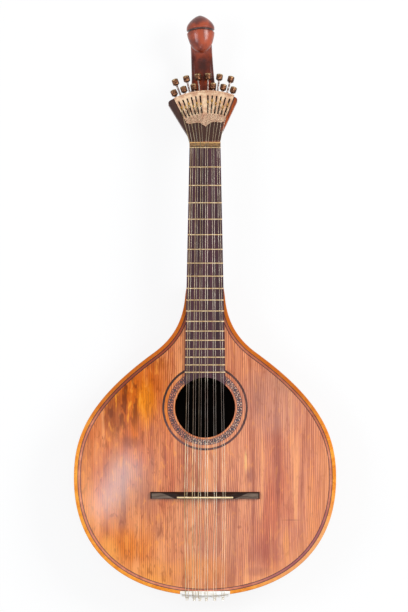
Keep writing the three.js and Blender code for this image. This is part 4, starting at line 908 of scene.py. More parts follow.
def plate_finish():
    """Pale brass, engraved between the slots and the foot and along the top arc."""
    f = Finish("plate_metal", roughness=0.4, metallic=0.8)
    radius, angle = fan_place(f)
    cloud = f.noise((0.15,) * 3, detail=4)
    f.ground(f.between(cloud, 0.35, 0.65), "e2c4a2", "bd9274")
    foot = f.between(radius, 66.5, 65)
    scroll = f.noise((0.5,) * 3, detail=2, warp=2.5)
    scroll_line = f.between(f.off(scroll, 0.5), 0.05, 0.02)
    dot_wave = f.calc("SINE", f.times(angle, 2 * math.pi / ARC_DOT_ANGLE))
    on_arc = f.between(f.off(radius, ARC_DOT_RADIUS), 0.9, 0.5)
    dots = f.times(on_arc, f.between(dot_wave, 0.2, 0.6, 0, 0.8))
    cut = f.larger(f.times(foot, scroll_line), dots)
    f.paint(f.times(foot, 0.35), "c99c84")
    f.paint(f.times(cut, 0.8), "84584a")
    f.bump(f.minus(f.times(cloud, 0.2), cut), 0.12)
    return f


saddle_bone = old_bone("saddle_bone", "f6dfb0", "d9b57c", 0.4)
tail_bone = old_bone("tail_bone", "fdfcf8", "f0e8da", 0.4)
fret_brass = old_metal("fret_brass", "ecd0a4", "bd9a6c", 0.28, 0.5, 0.5)
rail_brass = old_metal("rail_brass", "8a6434", "4a321c", 0.38, 0.6)
knob_bronze = old_metal("knob_bronze", "7a5238", "3c241a", 0.32, 0.5, 0.35, 0.9)
knob_rim = old_metal("knob_rim", "b0946c", "6c5038", 0.3, 0.5, 0.35, 0.9)
screw_bronze = old_metal("screw_bronze", "a3928a", "5a4840", 0.3, 0.5, 0.5)
hook_brass = old_metal("hook_brass", "d8a24c", "7c5a2c", 0.3, 0.5, 0.6)
plain_steel = old_metal(
    "plain_steel", "f2e6cc", "c4b08c", 0.3, 0.45, 0.05, tint_over_dark="54484a")
wound_wire = old_metal(
    "wound_wire", "dcc8a0", "a48c64", 0.35, 0.5, 0.05, tint_over_dark="4c403c")
pin_nickel = old_metal("pin_nickel", "fbf8f0", "d8ccb8", 0.3, 0.45, 0.5)
print("metals and bone ready")

# %% [markdown]
# ## Soundboard, binding and inlaid lines
# The board is a slab with a turned rim in it, which gives the hole its round lip and holds
# the mosaic's recess. Round the board's edge run an orange binding and a red band between
# two dark lines, and round the hole a dark ring and a mosaic. On the bench these
# are separate strips glued into a rebate and scraped flush, and here too each is a strip
# of its own: a small section carried along the outline, three hundredths of a millimetre
# proud so that no two faces lie in one plane.

# %% Soundboard and its inlays
SOUNDBOARD_LOW = 71
INLAY_TOP = BODY_DEPTH + 0.03
INLAY_FLOOR = 72.6
HOLE_Y = 115
HOLE_RADIUS = 38.5
MOSAIC_RADII = (41, 48)
DARK_RING_RADII = (51.9, 55)
BINDING_WIDTH = 4.6
LINE_WIDTH = 1.0
BAND_WIDTH = 2.4
EDGE_ROUND = 1.1
LIP_ROUND = 0.8
RECESS_DEPTH = 1.1
SEAM = 0.1  # room for glue between two pieces
ROUND_STEPS = 128
AT_THE_HOLE = Matrix.Translation((0, HOLE_Y, 0))


def flat_ring(inner, outer, low, high, eased=0.15):
    """A closed ring round the sound hole, with eased upper edges."""
    profile = [(inner, low), (outer, low), (outer, high - eased), (outer - eased, high),
               (inner + eased, high), (inner, high - eased)]
    return placed(AT_THE_HOLE, turned(profile, ROUND_STEPS, True))


def rounded_edge(inset, high, radius, steps=5):
    """Points of an upper outer corner, from the outside up and in."""
    return [(inset + radius * (1 - math.cos(t)), high - radius * (1 - math.sin(t)))
            for t in spaced(math.pi / 2, steps)]


board_edge = whole_outline(BINDING_WIDTH / 2)
recess_inner, recess_outer = MOSAIC_RADII[0] - SEAM, MOSAIC_RADII[1] + SEAM
board = slab(board_edge, [circle(recess_outer, HOLE_Y, ROUND_STEPS)], SOUNDBOARD_LOW, BODY_DEPTH)
lip = [(HOLE_RADIUS, SOUNDBOARD_LOW)]
lip += [(r + HOLE_RADIUS, z) for r, z in rounded_edge(0, BODY_DEPTH, LIP_ROUND)]
lip += [(recess_inner, BODY_DEPTH), (recess_inner, BODY_DEPTH - RECESS_DEPTH),
        (recess_outer, BODY_DEPTH - RECESS_DEPTH), (recess_outer, SOUNDBOARD_LOW)]
rim = placed(AT_THE_HOLE, turned(lip, ROUND_STEPS, True))
piece("soundboard_dressed", joined(board, rim), spruce,
      stands_for=["soundboard"])

binding_section = rounded_edge(0, INLAY_TOP, EDGE_ROUND)
binding_section += [(BINDING_WIDTH, INLAY_TOP), (BINDING_WIDTH, SOUNDBOARD_LOW),
                    (0, SOUNDBOARD_LOW)]
piece("binding", bent_strip(binding_section), binding_wood)
inset = BINDING_WIDTH
for name, width, finish in (("outer_line", LINE_WIDTH, line_wood),
                            ("red_band", BAND_WIDTH, band_wood),
                            ("inner_line", LINE_WIDTH, line_wood)):
    section = oblong(inset, inset + width, INLAY_FLOOR, INLAY_TOP)
    piece(name, bent_strip(section), finish)
    inset += width
piece("ring_line", flat_ring(*DARK_RING_RADII, INLAY_FLOOR, INLAY_TOP), line_wood)
print("border width:", round(inset, 1), "mm")

# %% [markdown]
# ## The mosaic
# The mosaic is made of hundreds of chips of wood between two dark lines. A texture could
# fake it, but chips cut as real faces stay crisp and carry their own materials. One ring
# of cells goes round the hole. Each cell holds a diamond, grey and cream by turns, and
# round it four corners in cream and salmon. In a few cells the inner two are swapped, for
# chips laid by hand are never quite regular.

# %% Mosaic ring
CHIP_CELLS = 42
CHIP_RADII = (41.7, 47.3)
CHIP_PROUD, CHIP_SUNK = 0.03, 0.4
CHIP_GAP, HEART_SHARE = 0.1, 0.45  # as shares of a cell
HEART_REACH = 0.9
MOSAIC_THICKNESS = 1


def mosaic_ring():
    low, top = BODY_DEPTH - MOSAIC_THICKNESS, BODY_DEPTH
    base = turned([(MOSAIC_RADII[0], low), (MOSAIC_RADII[1], low), (MOSAIC_RADII[1], top),
                   (MOSAIC_RADII[0], top)], 2 * CHIP_CELLS, True)
    shapes, zones = [base], [0] * len(base[1])
    inner, outer = CHIP_RADII
    middle = (inner + outer) / 2

    def chip(corners, zone):
        ring = [(r * math.cos(t), r * math.sin(t)) for r, t in corners]
        shapes.append(skin([[(x, y, z) for x, y in ring] for z in (top - CHIP_SUNK, top + CHIP_PROUD)]))
        zones.extend([zone] * (len(corners) + 2))

    step = 2 * math.pi / CHIP_CELLS
    gap = CHIP_GAP * step
    for n in range(CHIP_CELLS):
        a, m, b = n * step, (n + 0.5) * step, (n + 1) * step
        swapped = (n * 7) % 11 == 0
        for radius, zone in ((inner, 2 if swapped else 1), (outer, 2)):
            chip([(radius, a + gap), (radius, m), (middle, a + gap)], zone)
            chip([(radius, m + gap / 2), (radius, b - gap), (middle, b - gap)], 3 - zone)
        chip([(middle, m - HEART_SHARE * step / 2), (middle - HEART_REACH, m),
              (middle, m + HEART_SHARE * step / 2), (middle + HEART_REACH, m)], 3 if n % 2 else 1)
    return placed(AT_THE_HOLE, joined(*shapes)), zones


def chip_wood(name, pale, deep):
    """Wood for chips. The varnish over it is amber on the bass side."""
    f = streaked(name, pale, deep, (0.5, 0.5, 0.5), 0.4, "3a2420", clouds=0.2)
    f.paint(f.between(f.x, -8, -36), "f0b498", "MULTIPLY")
    return f


ring_shape, ring_zones = mosaic_ring()
mosaic_woods = [chip_wood("mosaic_ground", "46303a", "2c1c22"),
                chip_wood("cream_chip", "e0b298", "b8886c"),
                chip_wood("salmon_chip", "c08262", "9c6046"),
                chip_wood("grey_chip", "5a444e", "3a2a32")]
piece("mosaic", ring_shape, mosaic_woods, stands_for=["rosette_ring"], zones=ring_zones)
print("faces of the mosaic:", len(ring_zones))

# %% [markdown]
# ## Sides, back and inside
# Each side is one strip bent from the neck to the tail, so it is a section carried along
# half the outline. The back is a slab with eased edges, its inside a near-black painted
# shade. The linings, braces and blocks already have their true shapes in the frame. They only
# get their wood, but the back's braces get the same near-black painted shade.

# %% Sides, back, inside
SIDE_THICKNESS = 2.5
BACK_TOP = 3
side_section = oblong(0, SIDE_THICKNESS, BACK_TOP, SOUNDBOARD_LOW)
for side in ("treble", "bass"):
    piece(f"side_{side}_bent", bent_strip(side_section, side), side_wood,
          stands_for=[f"side_{side}"])
back_shape = slab(whole_outline(), [], 0, BACK_TOP)
inside_faces = len(whole_outline()) - 2
back_zones = [1] * inside_faces + [0] * (len(back_shape[1]) - inside_faces)
back = piece("back_bookmatched", back_shape, [back_wood, unlit_wood],
             stands_for=["back"], zones=back_zones)
ease_edges(back, 0.9, steps=3, above=60)
inner_nodes = ["end_block"]
inner_nodes += [f"lining_{level}_{side}" for level in ("top", "back") for side in ("bass", "treble")]
inner_nodes += [f"{board}_brace_{end}" for board in ("soundboard", "back") for end in ("upper", "lower")]
# The back's braces get the near-black painted shade of the inside.
for node in inner_nodes:
    dress(node, unlit_wood if node.startswith("back") else inner_wood)
print("inner pieces:", len(inner_nodes))

# %% [markdown]
# ## The neck and its heel
# The neck is a D-shaped bar and the heel a post that flares up into it, cut from one
# block of wood. Two overlapping skins would meet in a hard crease, and a carver leaves
# none. So both are merged into one voxel skin, which is then smoothed: the same as working
# the corner with a round file. The flat top, where the fingerboard is glued, is put back
# to its exact level.

# %% Merge and smooth
def as_shape(obj):
    """The object's mesh with its modifiers, as points and faces in millimetres."""
    solved = obj.evaluated_get(bpy.context.evaluated_depsgraph_get())
    mesh = solved.to_mesh()
    points = [tuple(v.co / MM) for v in mesh.vertices]
    faces = [tuple(face.vertices) for face in mesh.polygons]
    solved.to_mesh_clear()
    return points, faces


def merged(shape, voxel, smoothing):
    """One smooth skin round overlapping closed shapes."""
    obj = real_object("helper", shape)
    remesh = obj.modifiers.new("merge", "REMESH")
    remesh.mode = "VOXEL"
    remesh.voxel_size = voxel * MM
    smooth = obj.modifiers.new("file", "SMOOTH")
    smooth.factor = 0.5
    smooth.iterations = smoothing
    result = as_shape(obj)
    bpy.data.objects.remove(obj)
    return result


def carved(shape, others):
    """A shape after booleans. Each of the others comes with its operation."""
    obj = real_object("helper", shape)
    helpers = []
    for operation, other in others:
        helpers.append(real_object("helper", other))
        step = obj.modifiers.new("carve", "BOOLEAN")
        step.operation = operation
        step.solver = "EXACT"
        step.object = helpers[-1]
    result = as_shape(obj)
    for helper in (obj, *helpers):
        bpy.data.objects.remove(helper)
    return result


print("shapes can be merged, smoothed and carved")

# %% Neck shaft and heel
ZERO_FRET_Y = 448
BOARD_WIDTHS = (39.9, 52.2)  # at the zero fret and at the sound hole
NECK_START_Y = JOINT_Y + SEAM
NECK_DEPTHS = (19, 16)  # at the heel and at the nut
NECK_ROUNDING = 0.8
NECK_SINK = (5.5, 1.27, 36.9, 14.5)  # how the neck ends in the head: past it, down, width, depth
NECK_STEPS, HEEL_STEPS, NECK_SIDES = 24, 32, 36
HEEL_FOOT, HEEL_REACH, HEEL_POWER = 9, 30, 3.6
HEEL_FOOT_WIDTH = 45
HEEL_TOP = BODY_DEPTH - 9.5
HEEL_TOP_NARROWING = 4
NECK_VOXEL, NECK_SMOOTHING = 0.75, 8
TRUED_DEPTH, TRUED_EDGE, TRUED_ENDS = 1.2, 1.1, (0.6, 1)  # where the smoothed skin is put back
NECK_BLOCK_LENGTH = 30


def board_half_width(y):
    t = (ZERO_FRET_Y - y) / (ZERO_FRET_Y - HOLE_Y - HOLE_RADIUS)
    return lerp(*BOARD_WIDTHS, t) / 2


def fuller(value):
    """A sine or cosine made fuller than a circle's."""
    return math.copysign(abs(value) ** NECK_ROUNDING, value)


def neck_section(y, top, width, depth):
    return [(width / 2 * fuller(math.cos(t)), y, top - depth * fuller(math.sin(t)))
            for t in spaced(math.pi, NECK_SIDES)]


def neck_and_heel():
    shaft = []
    for t in spaced(1, NECK_STEPS):
        y = lerp(NECK_START_Y, HEAD_START_Y, t)
        width = 2 * board_half_width(min(y, ZERO_FRET_Y))
        shaft.append(neck_section(y, BODY_DEPTH, width, lerp(*NECK_DEPTHS, t)))
    past, down, width, depth = NECK_SINK
    shaft.append(neck_section(HEAD_START_Y + past, BODY_DEPTH - down, width, depth))
    top_width = 2 * board_half_width(NECK_START_Y) - HEEL_TOP_NARROWING
    heel = []
    for t in spaced(1, HEEL_STEPS):
        width = lerp(HEEL_FOOT_WIDTH, top_width, t)
        reach = HEEL_FOOT + HEEL_REACH * t**HEEL_POWER
        heel.append([(width / 2 * math.cos(a), NECK_START_Y + reach * math.sin(a), HEEL_TOP * t)
                     for a in spaced(math.pi, NECK_SIDES)])
    return merged(joined(skin(shaft), skin(heel)), NECK_VOXEL, NECK_SMOOTHING)


def trued_top(shape):
    """The glued face back to its level, and its edges back to the fingerboard's width."""
    points = []
    for x, y, z in shape[0]:
        glued = NECK_START_Y + TRUED_ENDS[0] < y < HEAD_START_Y - TRUED_ENDS[1]
        if glued and z > BODY_DEPTH - TRUED_DEPTH:
            edge = board_half_width(min(y, ZERO_FRET_Y))
            x = math.copysign(edge, x) if abs(x) > edge - TRUED_EDGE else x
            z = BODY_DEPTH
        points.append((x, max(y, NECK_START_Y), max(z, 0)))
    return points, shape[1]


piece("neck_carved", trued_top(neck_and_heel()), neck_wood, stands_for=["neck"])
block_end = JOINT_Y - NECK_BLOCK_LENGTH
block_outline = [tuple(p) for p in half_outline(SIDE_THICKNESS + SEAM) if p.y > block_end]
block_outline += mirrored(block_outline)
piece("neck_block", slab(block_outline, [], BACK_TOP + SEAM, SOUNDBOARD_LOW - SEAM), inner_wood)
print("neck width at the body:", round(2 * board_half_width(NECK_START_Y), 1))

# %% [markdown]
# ## The head
# The head is a flaring block that leans back twelve degrees, with a chamfer down each
# cheek. Its top follows an arc round the fan's centre, and a pocket holds the screws. On
# the real head these two are cuts of the saw and the chisel, so the block is lofted with
# its chamfers and then cut the same way with booleans.

# %% Head block
HEAD_PLACE = (Matrix.Translation((0, HEAD_START_Y, BODY_DEPTH))
              @ Matrix.Rotation(-HEAD_TILT, 4, "X") @ Matrix.Rotation(HEAD_LEAN, 4, "Z"))
FAN_PLACE = HEAD_PLACE @ Matrix.Translation((FAN_OFFSET, -FAN_SETBACK, 0))
HEAD_SECTIONS = (  # distance from the nut, width, thickness, share of the chamfer
    (1.15, 39.9, 16, 0.25), (11, 44, 18, 0.5), (22, 55.5, 20, 1), (95.5, 132.5, 20, 1))
CHAMFER = (5, 3)
BACK_ROUNDING = 8
HEAD_TOP_RADIUS = 95.5
HEAD_TOP_HALF_WIDTH, HEAD_TOP_CORNER_V = 44, 53
HEAD_CORNER = 3
HEAD_STEPS = 48
CAVITY_RADII = (60.3, 115.5)
CAVITY_FLOOR = -10.5
CAVITY_HALF_ANGLE = math.radians(23.3)
BELOW_HEAD, OVERRUN = -25, 5  # how far the cutters reach


def polar(radius, angle):
    return (radius * math.sin(angle), radius * math.cos(angle))


def arc(radius, start, end, steps):
    return [polar(radius, lerp(start, end, i / steps)) for i in range(steps + 1)]


def head_section(v, width, thickness, share):
    side, back = width / 2, -thickness
    corner = [(side - BACK_ROUNDING * (1 - math.cos(t)), back + BACK_ROUNDING * (1 - math.sin(t)))
              for t in spaced(math.pi / 2, 8)]
    treble = [(side - share * CHAMFER[0], 0), (side, -share * CHAMFER[1]), *corner]
    return [(x, v, z) for x, z in treble + mirrored(treble)]


def head_plan():
    """The arc across the top, with rounded corners where it meets the straight cheeks."""
    foot = Vector((HEAD_SECTIONS[1][1] / 2, HEAD_SECTIONS[1][0] + FAN_SETBACK))
    top = Vector((HEAD_TOP_HALF_WIDTH, HEAD_TOP_CORNER_V + FAN_SETBACK))
    slope = Vector((top.y - foot.y, foot.x - top.x)).normalized()
    lean = math.atan2(-slope.y, slope.x)
    reach = HEAD_TOP_RADIUS - HEAD_CORNER
    turn = lean + math.asin((slope.dot(foot) - HEAD_CORNER) / reach)
    centre = Vector(polar(reach, turn))
    corner = [centre + Vector(p) for p in arc(HEAD_CORNER, turn, lean + math.pi / 2, 8)]
    treble = [tuple(p) for p in (*corner, corner[-1] + OVERRUN * slope)]
    treble.append((2 * HEAD_TOP_HALF_WIDTH, FAN_SETBACK - OVERRUN))
    across = arc(HEAD_TOP_RADIUS, -turn, turn, HEAD_STEPS)
    return across[:-1] + treble + mirrored(treble)[:-1]


def sector(inner, outer, half_angle):
    """A piece of a ring round the fan's centre."""
    back = arc(outer, half_angle, -half_angle, HEAD_STEPS)
    return arc(inner, -half_angle, half_angle, HEAD_STEPS) + back


plan = placed(Matrix.Translation((0, -FAN_SETBACK, 0)), slab(head_plan(), [], BELOW_HEAD, OVERRUN))
pocket = placed(Matrix.Translation((FAN_OFFSET, -FAN_SETBACK, 0)),
                slab(sector(*CAVITY_RADII, CAVITY_HALF_ANGLE), [], CAVITY_FLOOR, OVERRUN))
block = carved(skin([head_section(*s) for s in HEAD_SECTIONS]),
               [("INTERSECT", plan), ("DIFFERENCE", pocket)])
head_block = piece("head_block", placed(HEAD_PLACE, block), head_wood)
ease_edges(head_block, 0.5, above=25)
print("head block faces:", len(head_block.data.polygons))

# %% [markdown]
# ## The finial
# Behind the knobs the head runs on as a slim shaft, curves forward and ends in a hanging
# drop with a grooved cap, the mark of this kind of guitar. The shaft is lofted through
# a few sections, the drop is turned and flattened a little, and both are merged and
# smoothed, so the shaft swells into the drop without a seam.

# %% Finial
SHAFT_STATIONS = (  # distance from the nut, level, width share, thickness share
    (57.9, 0, 1, 0.5), (69.2, 0.85, 0.86, 0.9), (80.9, 1.08, 0.45, 1), (92.2, 1, 0.23, 1))
SHAFT_CLIMB = ((107.1, 0.15, 0.08, 1), (119.8, 0.43, 0, 1), (132.6, 0.74, 0, 0.95),
               (145.3, 0.98, 0, 0.8))
SHAFT_LEVELS = (-16, -18.5, 9)
SHAFT_WIDTHS = (27.4, 34)
SHAFT_THICKNESS = 16
SHAFT_FLUTE = 1.6
DROP_FLATNESS, DROP_SIDES = 0.84, 56
DROP_FORWARD = 9
DROP_LOWER = (  # height share, radius share
    (0.0, 0.0), (0.03, 0.24), (0.09, 0.5), (0.17, 0.69), (0.26, 0.81), (0.36, 0.9),
    (0.46, 0.97), (0.56, 1))
DROP_CAP = ((0.61, 1), (0.67, 1), (0.74, 0.93), (0.81, 0.79), (0.89, 0.57), (0.96, 0.28), (1.0, 0.0))
FINIAL_VOXEL, FINIAL_SMOOTHING = 0.6, 5
GROOVE_BACK = -3  # the groove is cut only above this level


def smooth_through(values, steps):
    """A curve through a list of tuples, the way a thin batten bends through pins."""
    ends = [values[0], *values, values[-1]]
    curve = []
    for a, b, c, d in zip(ends, ends[1:], ends[2:], ends[3:]):
        for i in range(steps):
            t = i / steps
            curve.append(tuple(
                0.5 * (2 * q + (r - p) * t + (2 * p - 5 * q + 4 * r - s) * t * t
                       + (3 * q - p - 3 * r + s) * t**3) for p, q, r, s in zip(a, b, c, d)))
    return curve + [values[-1]]


def finial_ring(v, level, flare, slim, sides=40):
    width = lerp(*SHAFT_WIDTHS, flare)
    ring = []
    for turn in full_turn(sides):
        flute = SHAFT_FLUTE * max(0, -math.cos(2 * turn)) if math.sin(turn) > 0 else 0
        z = level + SHAFT_THICKNESS / 2 * slim * fuller(math.sin(turn)) - flute
        ring.append((width / 2 * fuller(math.cos(turn)), v, z))
    return ring


def finial():
    root, low, high = SHAFT_LEVELS
    stations = [(v, lerp(root, low, s), w, t) for v, s, w, t in SHAFT_STATIONS]
    stations += [(v, lerp(low, high, s), w, t) for v, s, w, t in SHAFT_CLIMB]
    shaft = skin([finial_ring(*station) for station in smooth_through(stations, 5)])
    outline = smooth_through(DROP_LOWER, 4) + smooth_through(DROP_CAP, 4)
    profile = [(DROP_RADIUS * max(r, 0), DROP_LENGTH * h) for h, r in outline]
    drop = turned(profile, DROP_SIDES)
    lying = Matrix.Rotation(-math.pi / 2, 4, "X")
    flat = Matrix.Scale(DROP_FLATNESS, 4, (0, 0, 1))
    at = Matrix.Translation((0, DROP_START, DROP_FORWARD))
    return merged(joined(shaft, placed(at @ flat @ lying, drop)), FINIAL_VOXEL, FINIAL_SMOOTHING)


def cut_groove(shape):
    """The ring cut round the cap, pressed into the merged skin."""
    points = []
    for x, y, z in shape[0]:
        arched = y + GROOVE_ARCH * (x / DROP_RADIUS) ** 2
        off = (arched - DROP_START - GROOVE_AT) / GROOVE_HALF_WIDTH
        if abs(off) < 1 and z > GROOVE_BACK:
            share = 1 - GROOVE_DEPTH / DROP_RADIUS * (1 - off * off)
            x, z = x * share, DROP_FORWARD + (z - DROP_FORWARD) * share
        points.append((x, y, z))
    return points, shape[1]


finial_place = HEAD_PLACE @ Matrix.Translation((FAN_OFFSET, 0, 0))
piece("finial", placed(finial_place, cut_groove(finial())), finial_wood)
tip = finial_place @ Vector((0, DROP_START + DROP_LENGTH, DROP_FORWARD))
print("finial tip at Y", round(tip.y, 1))

# %% [markdown]
# ## Fingerboard, frets and nut
# The board is a tapering slab with a slightly round top, whose foot is scooped to follow
# the sound hole. Frets are wire with a crowned head. Each is one small rounded section
# carried across the camber, with its ends filed down so they don't catch the hand.

# %% Fingerboard and frets
SCALE_LENGTH = 445
BOARD_END_Y = 449.2
BOARD_BOTTOM = BODY_DEPTH + SEAM
BOARD_TOP = BOARD_BOTTOM + 5
BOARD_ROWS = 60
CAMBER_RADIUS = 250
FRET_COUNT = 18
FRET_SECTION = ((-0.75, -0.2), (-0.74, 0.25), (-0.58, 0.62), (-0.3, 0.84), (0, 0.9),
                (0.3, 0.84), (0.58, 0.62), (0.74, 0.25), (0.75, -0.2))
FRET_END_FILED, FRET_END_SHARE = 0.9, 0.25


def camber(x):
    return x * x / (2 * CAMBER_RADIUS)


def board_row(t, columns=20):
    """A section across the board. The first follows the sound hole's edge.

    The width depends on the place and the place on the width, so both are settled in rounds.
    """
    top = []
    for across in spaced(2, columns):
        y = lerp(HOLE_Y + HOLE_RADIUS, BOARD_END_Y, t)
        for _ in range(4):
            x = (1 - across) * board_half_width(y)
            foot = HOLE_Y + math.sqrt(HOLE_RADIUS**2 - x * x)
            y = lerp(foot, BOARD_END_Y, t)
        top.append((x, y, BOARD_TOP - camber(x)))
    return top + [(x, y, BOARD_BOTTOM) for x, y, _ in reversed(top)]


def fret_y(n):
    return ZERO_FRET_Y - SCALE_LENGTH * (1 - 2 ** (-n / 12))


def fret(n):
    y = fret_y(n)
    w = board_half_width(y)
    middle = [(w * i / 8, 1) for i in range(-7, 8)]
    filed = [(w - FRET_END_FILED, 1), (w, FRET_END_SHARE)]
    rings = []
    for x, share in mirrored(filed) + middle + filed:
        top = BOARD_TOP - camber(x)
        rings.append(ring_at(x, [(y + dy, top + (dz * share if dz > 0 else dz))
                                 for dy, dz in FRET_SECTION]))
    return skin(rings)


board = piece("fingerboard_shaped", skin([board_row(t) for t in spaced(1, BOARD_ROWS)], bent_ends=True),
              fingerboard_wood, stands_for=["fingerboard"])
ease_edges(board, 0.4, above=50)
piece("frets", joined(*[fret(n) for n in range(FRET_COUNT + 1)]), fret_brass)


def nut_finish():
    f = Finish("nut", roughness=0.35)
    cloud = f.noise((0.3, 0.8, 0.8), detail=3)
    f.ground(f.between(cloud, 0.35, 0.65), "96713f", "5d4026")
    gold = f.between(f.y, 453.4, 453.9, 0, 0.9)
    f.paint(f.times(gold, f.between(cloud, 0.3, 0.5)), "cf9f60")
    return f


dress("nut", nut_finish(), ease=0.25)
print("last fret at Y", round(fret_y(FRET_COUNT), 1))

# %% [markdown]
# ## Bridge and saddle
# The floating bridge is a long bar with low wings, swept up to a high middle that carries
# the bone saddle. Its top is as round as the fingerboard's, and its front slopes down to a
# thin toe. One section, whose height changes along the bar, makes all of that, and a bevel
# softens the edges as a scraper does. The grey on the wings' tops is a painted reflection in the
# bridge's finish.

# %% Bridge and saddle
BRIDGE_HALF, WING_TIP = 70, 8
WING_X, SHOULDER_X = 56, 34
WING_HEIGHT, BRIDGE_HEIGHT = 4, 9.3
BRIDGE_BACK, BRIDGE_CREST, BRIDGE_TOE_Y = -1.7, 1.9, 7.1
TOE_HEIGHT = 2
FRONT_HOLLOW = 0.5
ARCH_HALF, ARCH_HEIGHT = 48, 1
BRIDGE_BOTTOM = BODY_DEPTH + SEAM
SADDLE_LOW, SADDLE_TOP = 80.4, 85
SADDLE_ENDS = ((-36, 0.9), (-35.7, 0.35), (-35.1, 0.05))  # place along the bar, drop of the top
SADDLE_SECTION = (  # Y, distance below the top
    (-1, 0.9), (-0.85, 0.4), (-0.5, 0.1), (0, 0), (0.5, 0.1), (0.85, 0.4), (1, 0.9))


def bridge_stations():
    """Places along the bar with their heights: wing, sweep, middle, sweep, wing."""
    wing = (WING_X, WING_HEIGHT)
    shoulder = (SHOULDER_X, BRIDGE_HEIGHT - camber(SHOULDER_X))
    treble = [(BRIDGE_HALF, WING_HEIGHT), (BRIDGE_HALF - WING_TIP, WING_HEIGHT), wing]
    treble += bent(wing, (SHOULDER_X, WING_HEIGHT), shoulder, 12)
    middle = [(x, BRIDGE_HEIGHT - camber(x)) for x in range(27, -28, -9)]
    return treble + middle + mirrored(treble)


def bridge_ring(x, height):
    low = ARCH_HEIGHT * max(0, 1 - (x / ARCH_HALF) ** 2)
    slope = (BRIDGE_TOE_Y - BRIDGE_CREST) / (BRIDGE_HEIGHT - TOE_HEIGHT)
    front = BRIDGE_CREST + (BRIDGE_HEIGHT - height) * slope
    hollow = FRONT_HOLLOW if abs(x) < SHOULDER_X else 0
    middle = ((front + BRIDGE_TOE_Y) / 2 - hollow, (height + TOE_HEIGHT) / 2)
    section = [(BRIDGE_BACK, low), (BRIDGE_BACK, height), (front, height), middle,
               (BRIDGE_TOE_Y, TOE_HEIGHT), (BRIDGE_TOE_Y, low)]
    return ring_at(x, [(y, BRIDGE_BOTTOM + z) for y, z in section])


def saddle_ring(x, drop):
    top = SADDLE_TOP - camber(x) - drop
    crown = [(y, top - below) for y, below in SADDLE_SECTION]
    return ring_at(x, [(-1, SADDLE_LOW), *crown, (1, SADDLE_LOW)])


stations = bridge_stations()
bridge = piece("bridge_shaped", skin([bridge_ring(*s) for s in stations]), bridge_wood,
               stands_for=["bridge"])
ease_edges(bridge, 0.5, above=20)
saddle_places = [*SADDLE_ENDS, *((x, 0) for x in range(-33, 34, 3)), *mirrored(SADDLE_ENDS)]
piece("saddle_rounded", skin([saddle_ring(*s) for s in saddle_places]), saddle_bone,
      stands_for=["bridge_saddle"])
print("bridge stations:", len(stations))

# %% [markdown]
# ## The tail
# The strings bend over a bone strip let into the soundboard's edge and hook on six pins in
# a small plate on the end of the body. The strip follows the outline, so its sections are
# placed by the same edge.

# %% Tail saddle and tailpiece
TAIL_SADDLE_HALF = 32
TAIL_SADDLE_TOP = 74.8
TAIL_SADDLE_INNER_Y = -120
TAIL_SADDLE_PROFILE = ((0, 73.2), (0.6, 74.0), (1.7, 74.5), (3.3, TAIL_SADDLE_TOP))  # inward, level
TAILPIECE_HALF = 30
TAILPIECE_LEVELS = (56.5, 69.5)
TAILPIECE_THICKNESS = 3
PIN_LEVEL = 63.0
PIN_PROFILE = ((0, -1.5), (1.1, -1.5), (1.1, 3.3), (1.5, 3.4), (1.8, 3.55), (1.9, 3.85),
               (1.75, 4.2), (1.2, 4.3), (0, 4.3))
BRIDGE_SHARES = (-1, -0.6, -0.29, 0.07, 0.54, 1)
PIN_SPREAD = 46


def tail_face(x):
    """The outer face of the tailpiece, which the pins stand on."""
    return tail_edge(x) - SEAM - TAILPIECE_THICKNESS


def tail_saddle_ring(x):
    edge = tail_edge(x) - SEAM
    upper = [(edge + inward, level) for inward, level in TAIL_SADDLE_PROFILE]
    return ring_at(x, [(edge, SOUNDBOARD_LOW), *upper, (TAIL_SADDLE_INNER_Y, TAIL_SADDLE_TOP),
                       (TAIL_SADDLE_INNER_Y, SOUNDBOARD_LOW)])


def tailpiece_ring(x):
    return ring_at(x, oblong(tail_edge(x) - SEAM, tail_face(x), *TAILPIECE_LEVELS))


def rings_across(ring, half):
    """One ring for every two millimetres from one side to the other."""
    return skin([ring(x) for x in range(-half, half + 1, 2)])


def tail_pin(share):
    x = PIN_SPREAD / 2 * share
    outward = Matrix.Rotation(math.pi / 2, 4, "X")
    return placed(Matrix.Translation((x, tail_face(x), PIN_LEVEL)) @ outward, turned(PIN_PROFILE))


strip = piece("tail_saddle_shaped", rings_across(tail_saddle_ring, TAIL_SADDLE_HALF), tail_bone,
              stands_for=["tail_saddle"])
ease_edges(strip, 0.3, above=40)
plate = piece("tailpiece_shaped", rings_across(tailpiece_ring, TAILPIECE_HALF), tail_bone,
              stands_for=["tailpiece"])
ease_edges(plate, 0.7, steps=3, above=40)
piece("tail_pins", joined(*[tail_pin(share) for share in BRIDGE_SHARES]), pin_nickel)
print("tail edge at the middle:", round(tail_edge(0), 1))

# %% [markdown]
# ## The fan plate
# The plate is the face of the tuning machine: a fan with twelve slots, stamped from thin
# nickel brass, with a scalloped foot and engraving between the slots and the foot. It is a
# slab with holes, and everything is placed by radius and angle round the point where the
# twelve screws would meet, because that is how a maker sets it out.

# %% Fan plate
STRING_COUNT = 12
MIDDLE_HALF_ANGLE = math.radians(3.2)
SCREW_ANGLE = math.radians(3.65)
PLATE_LOW, PLATE_TOP = 0.1, 1.3
PLATE_TOP_RADIUS = 96.5
PLATE_HALF_ANGLE = math.radians(23.9)
PLATE_FOOT_RADIUS = 59.5
PLATE_CORNER, PLATE_SCALLOP, PLATE_TIP = (19.8, 52.9), (10.8, 54.3), (0, 48.4)
SLOT_RADII = (66.0, 90.05)
SLOT_HALF_WIDTH = 1.0


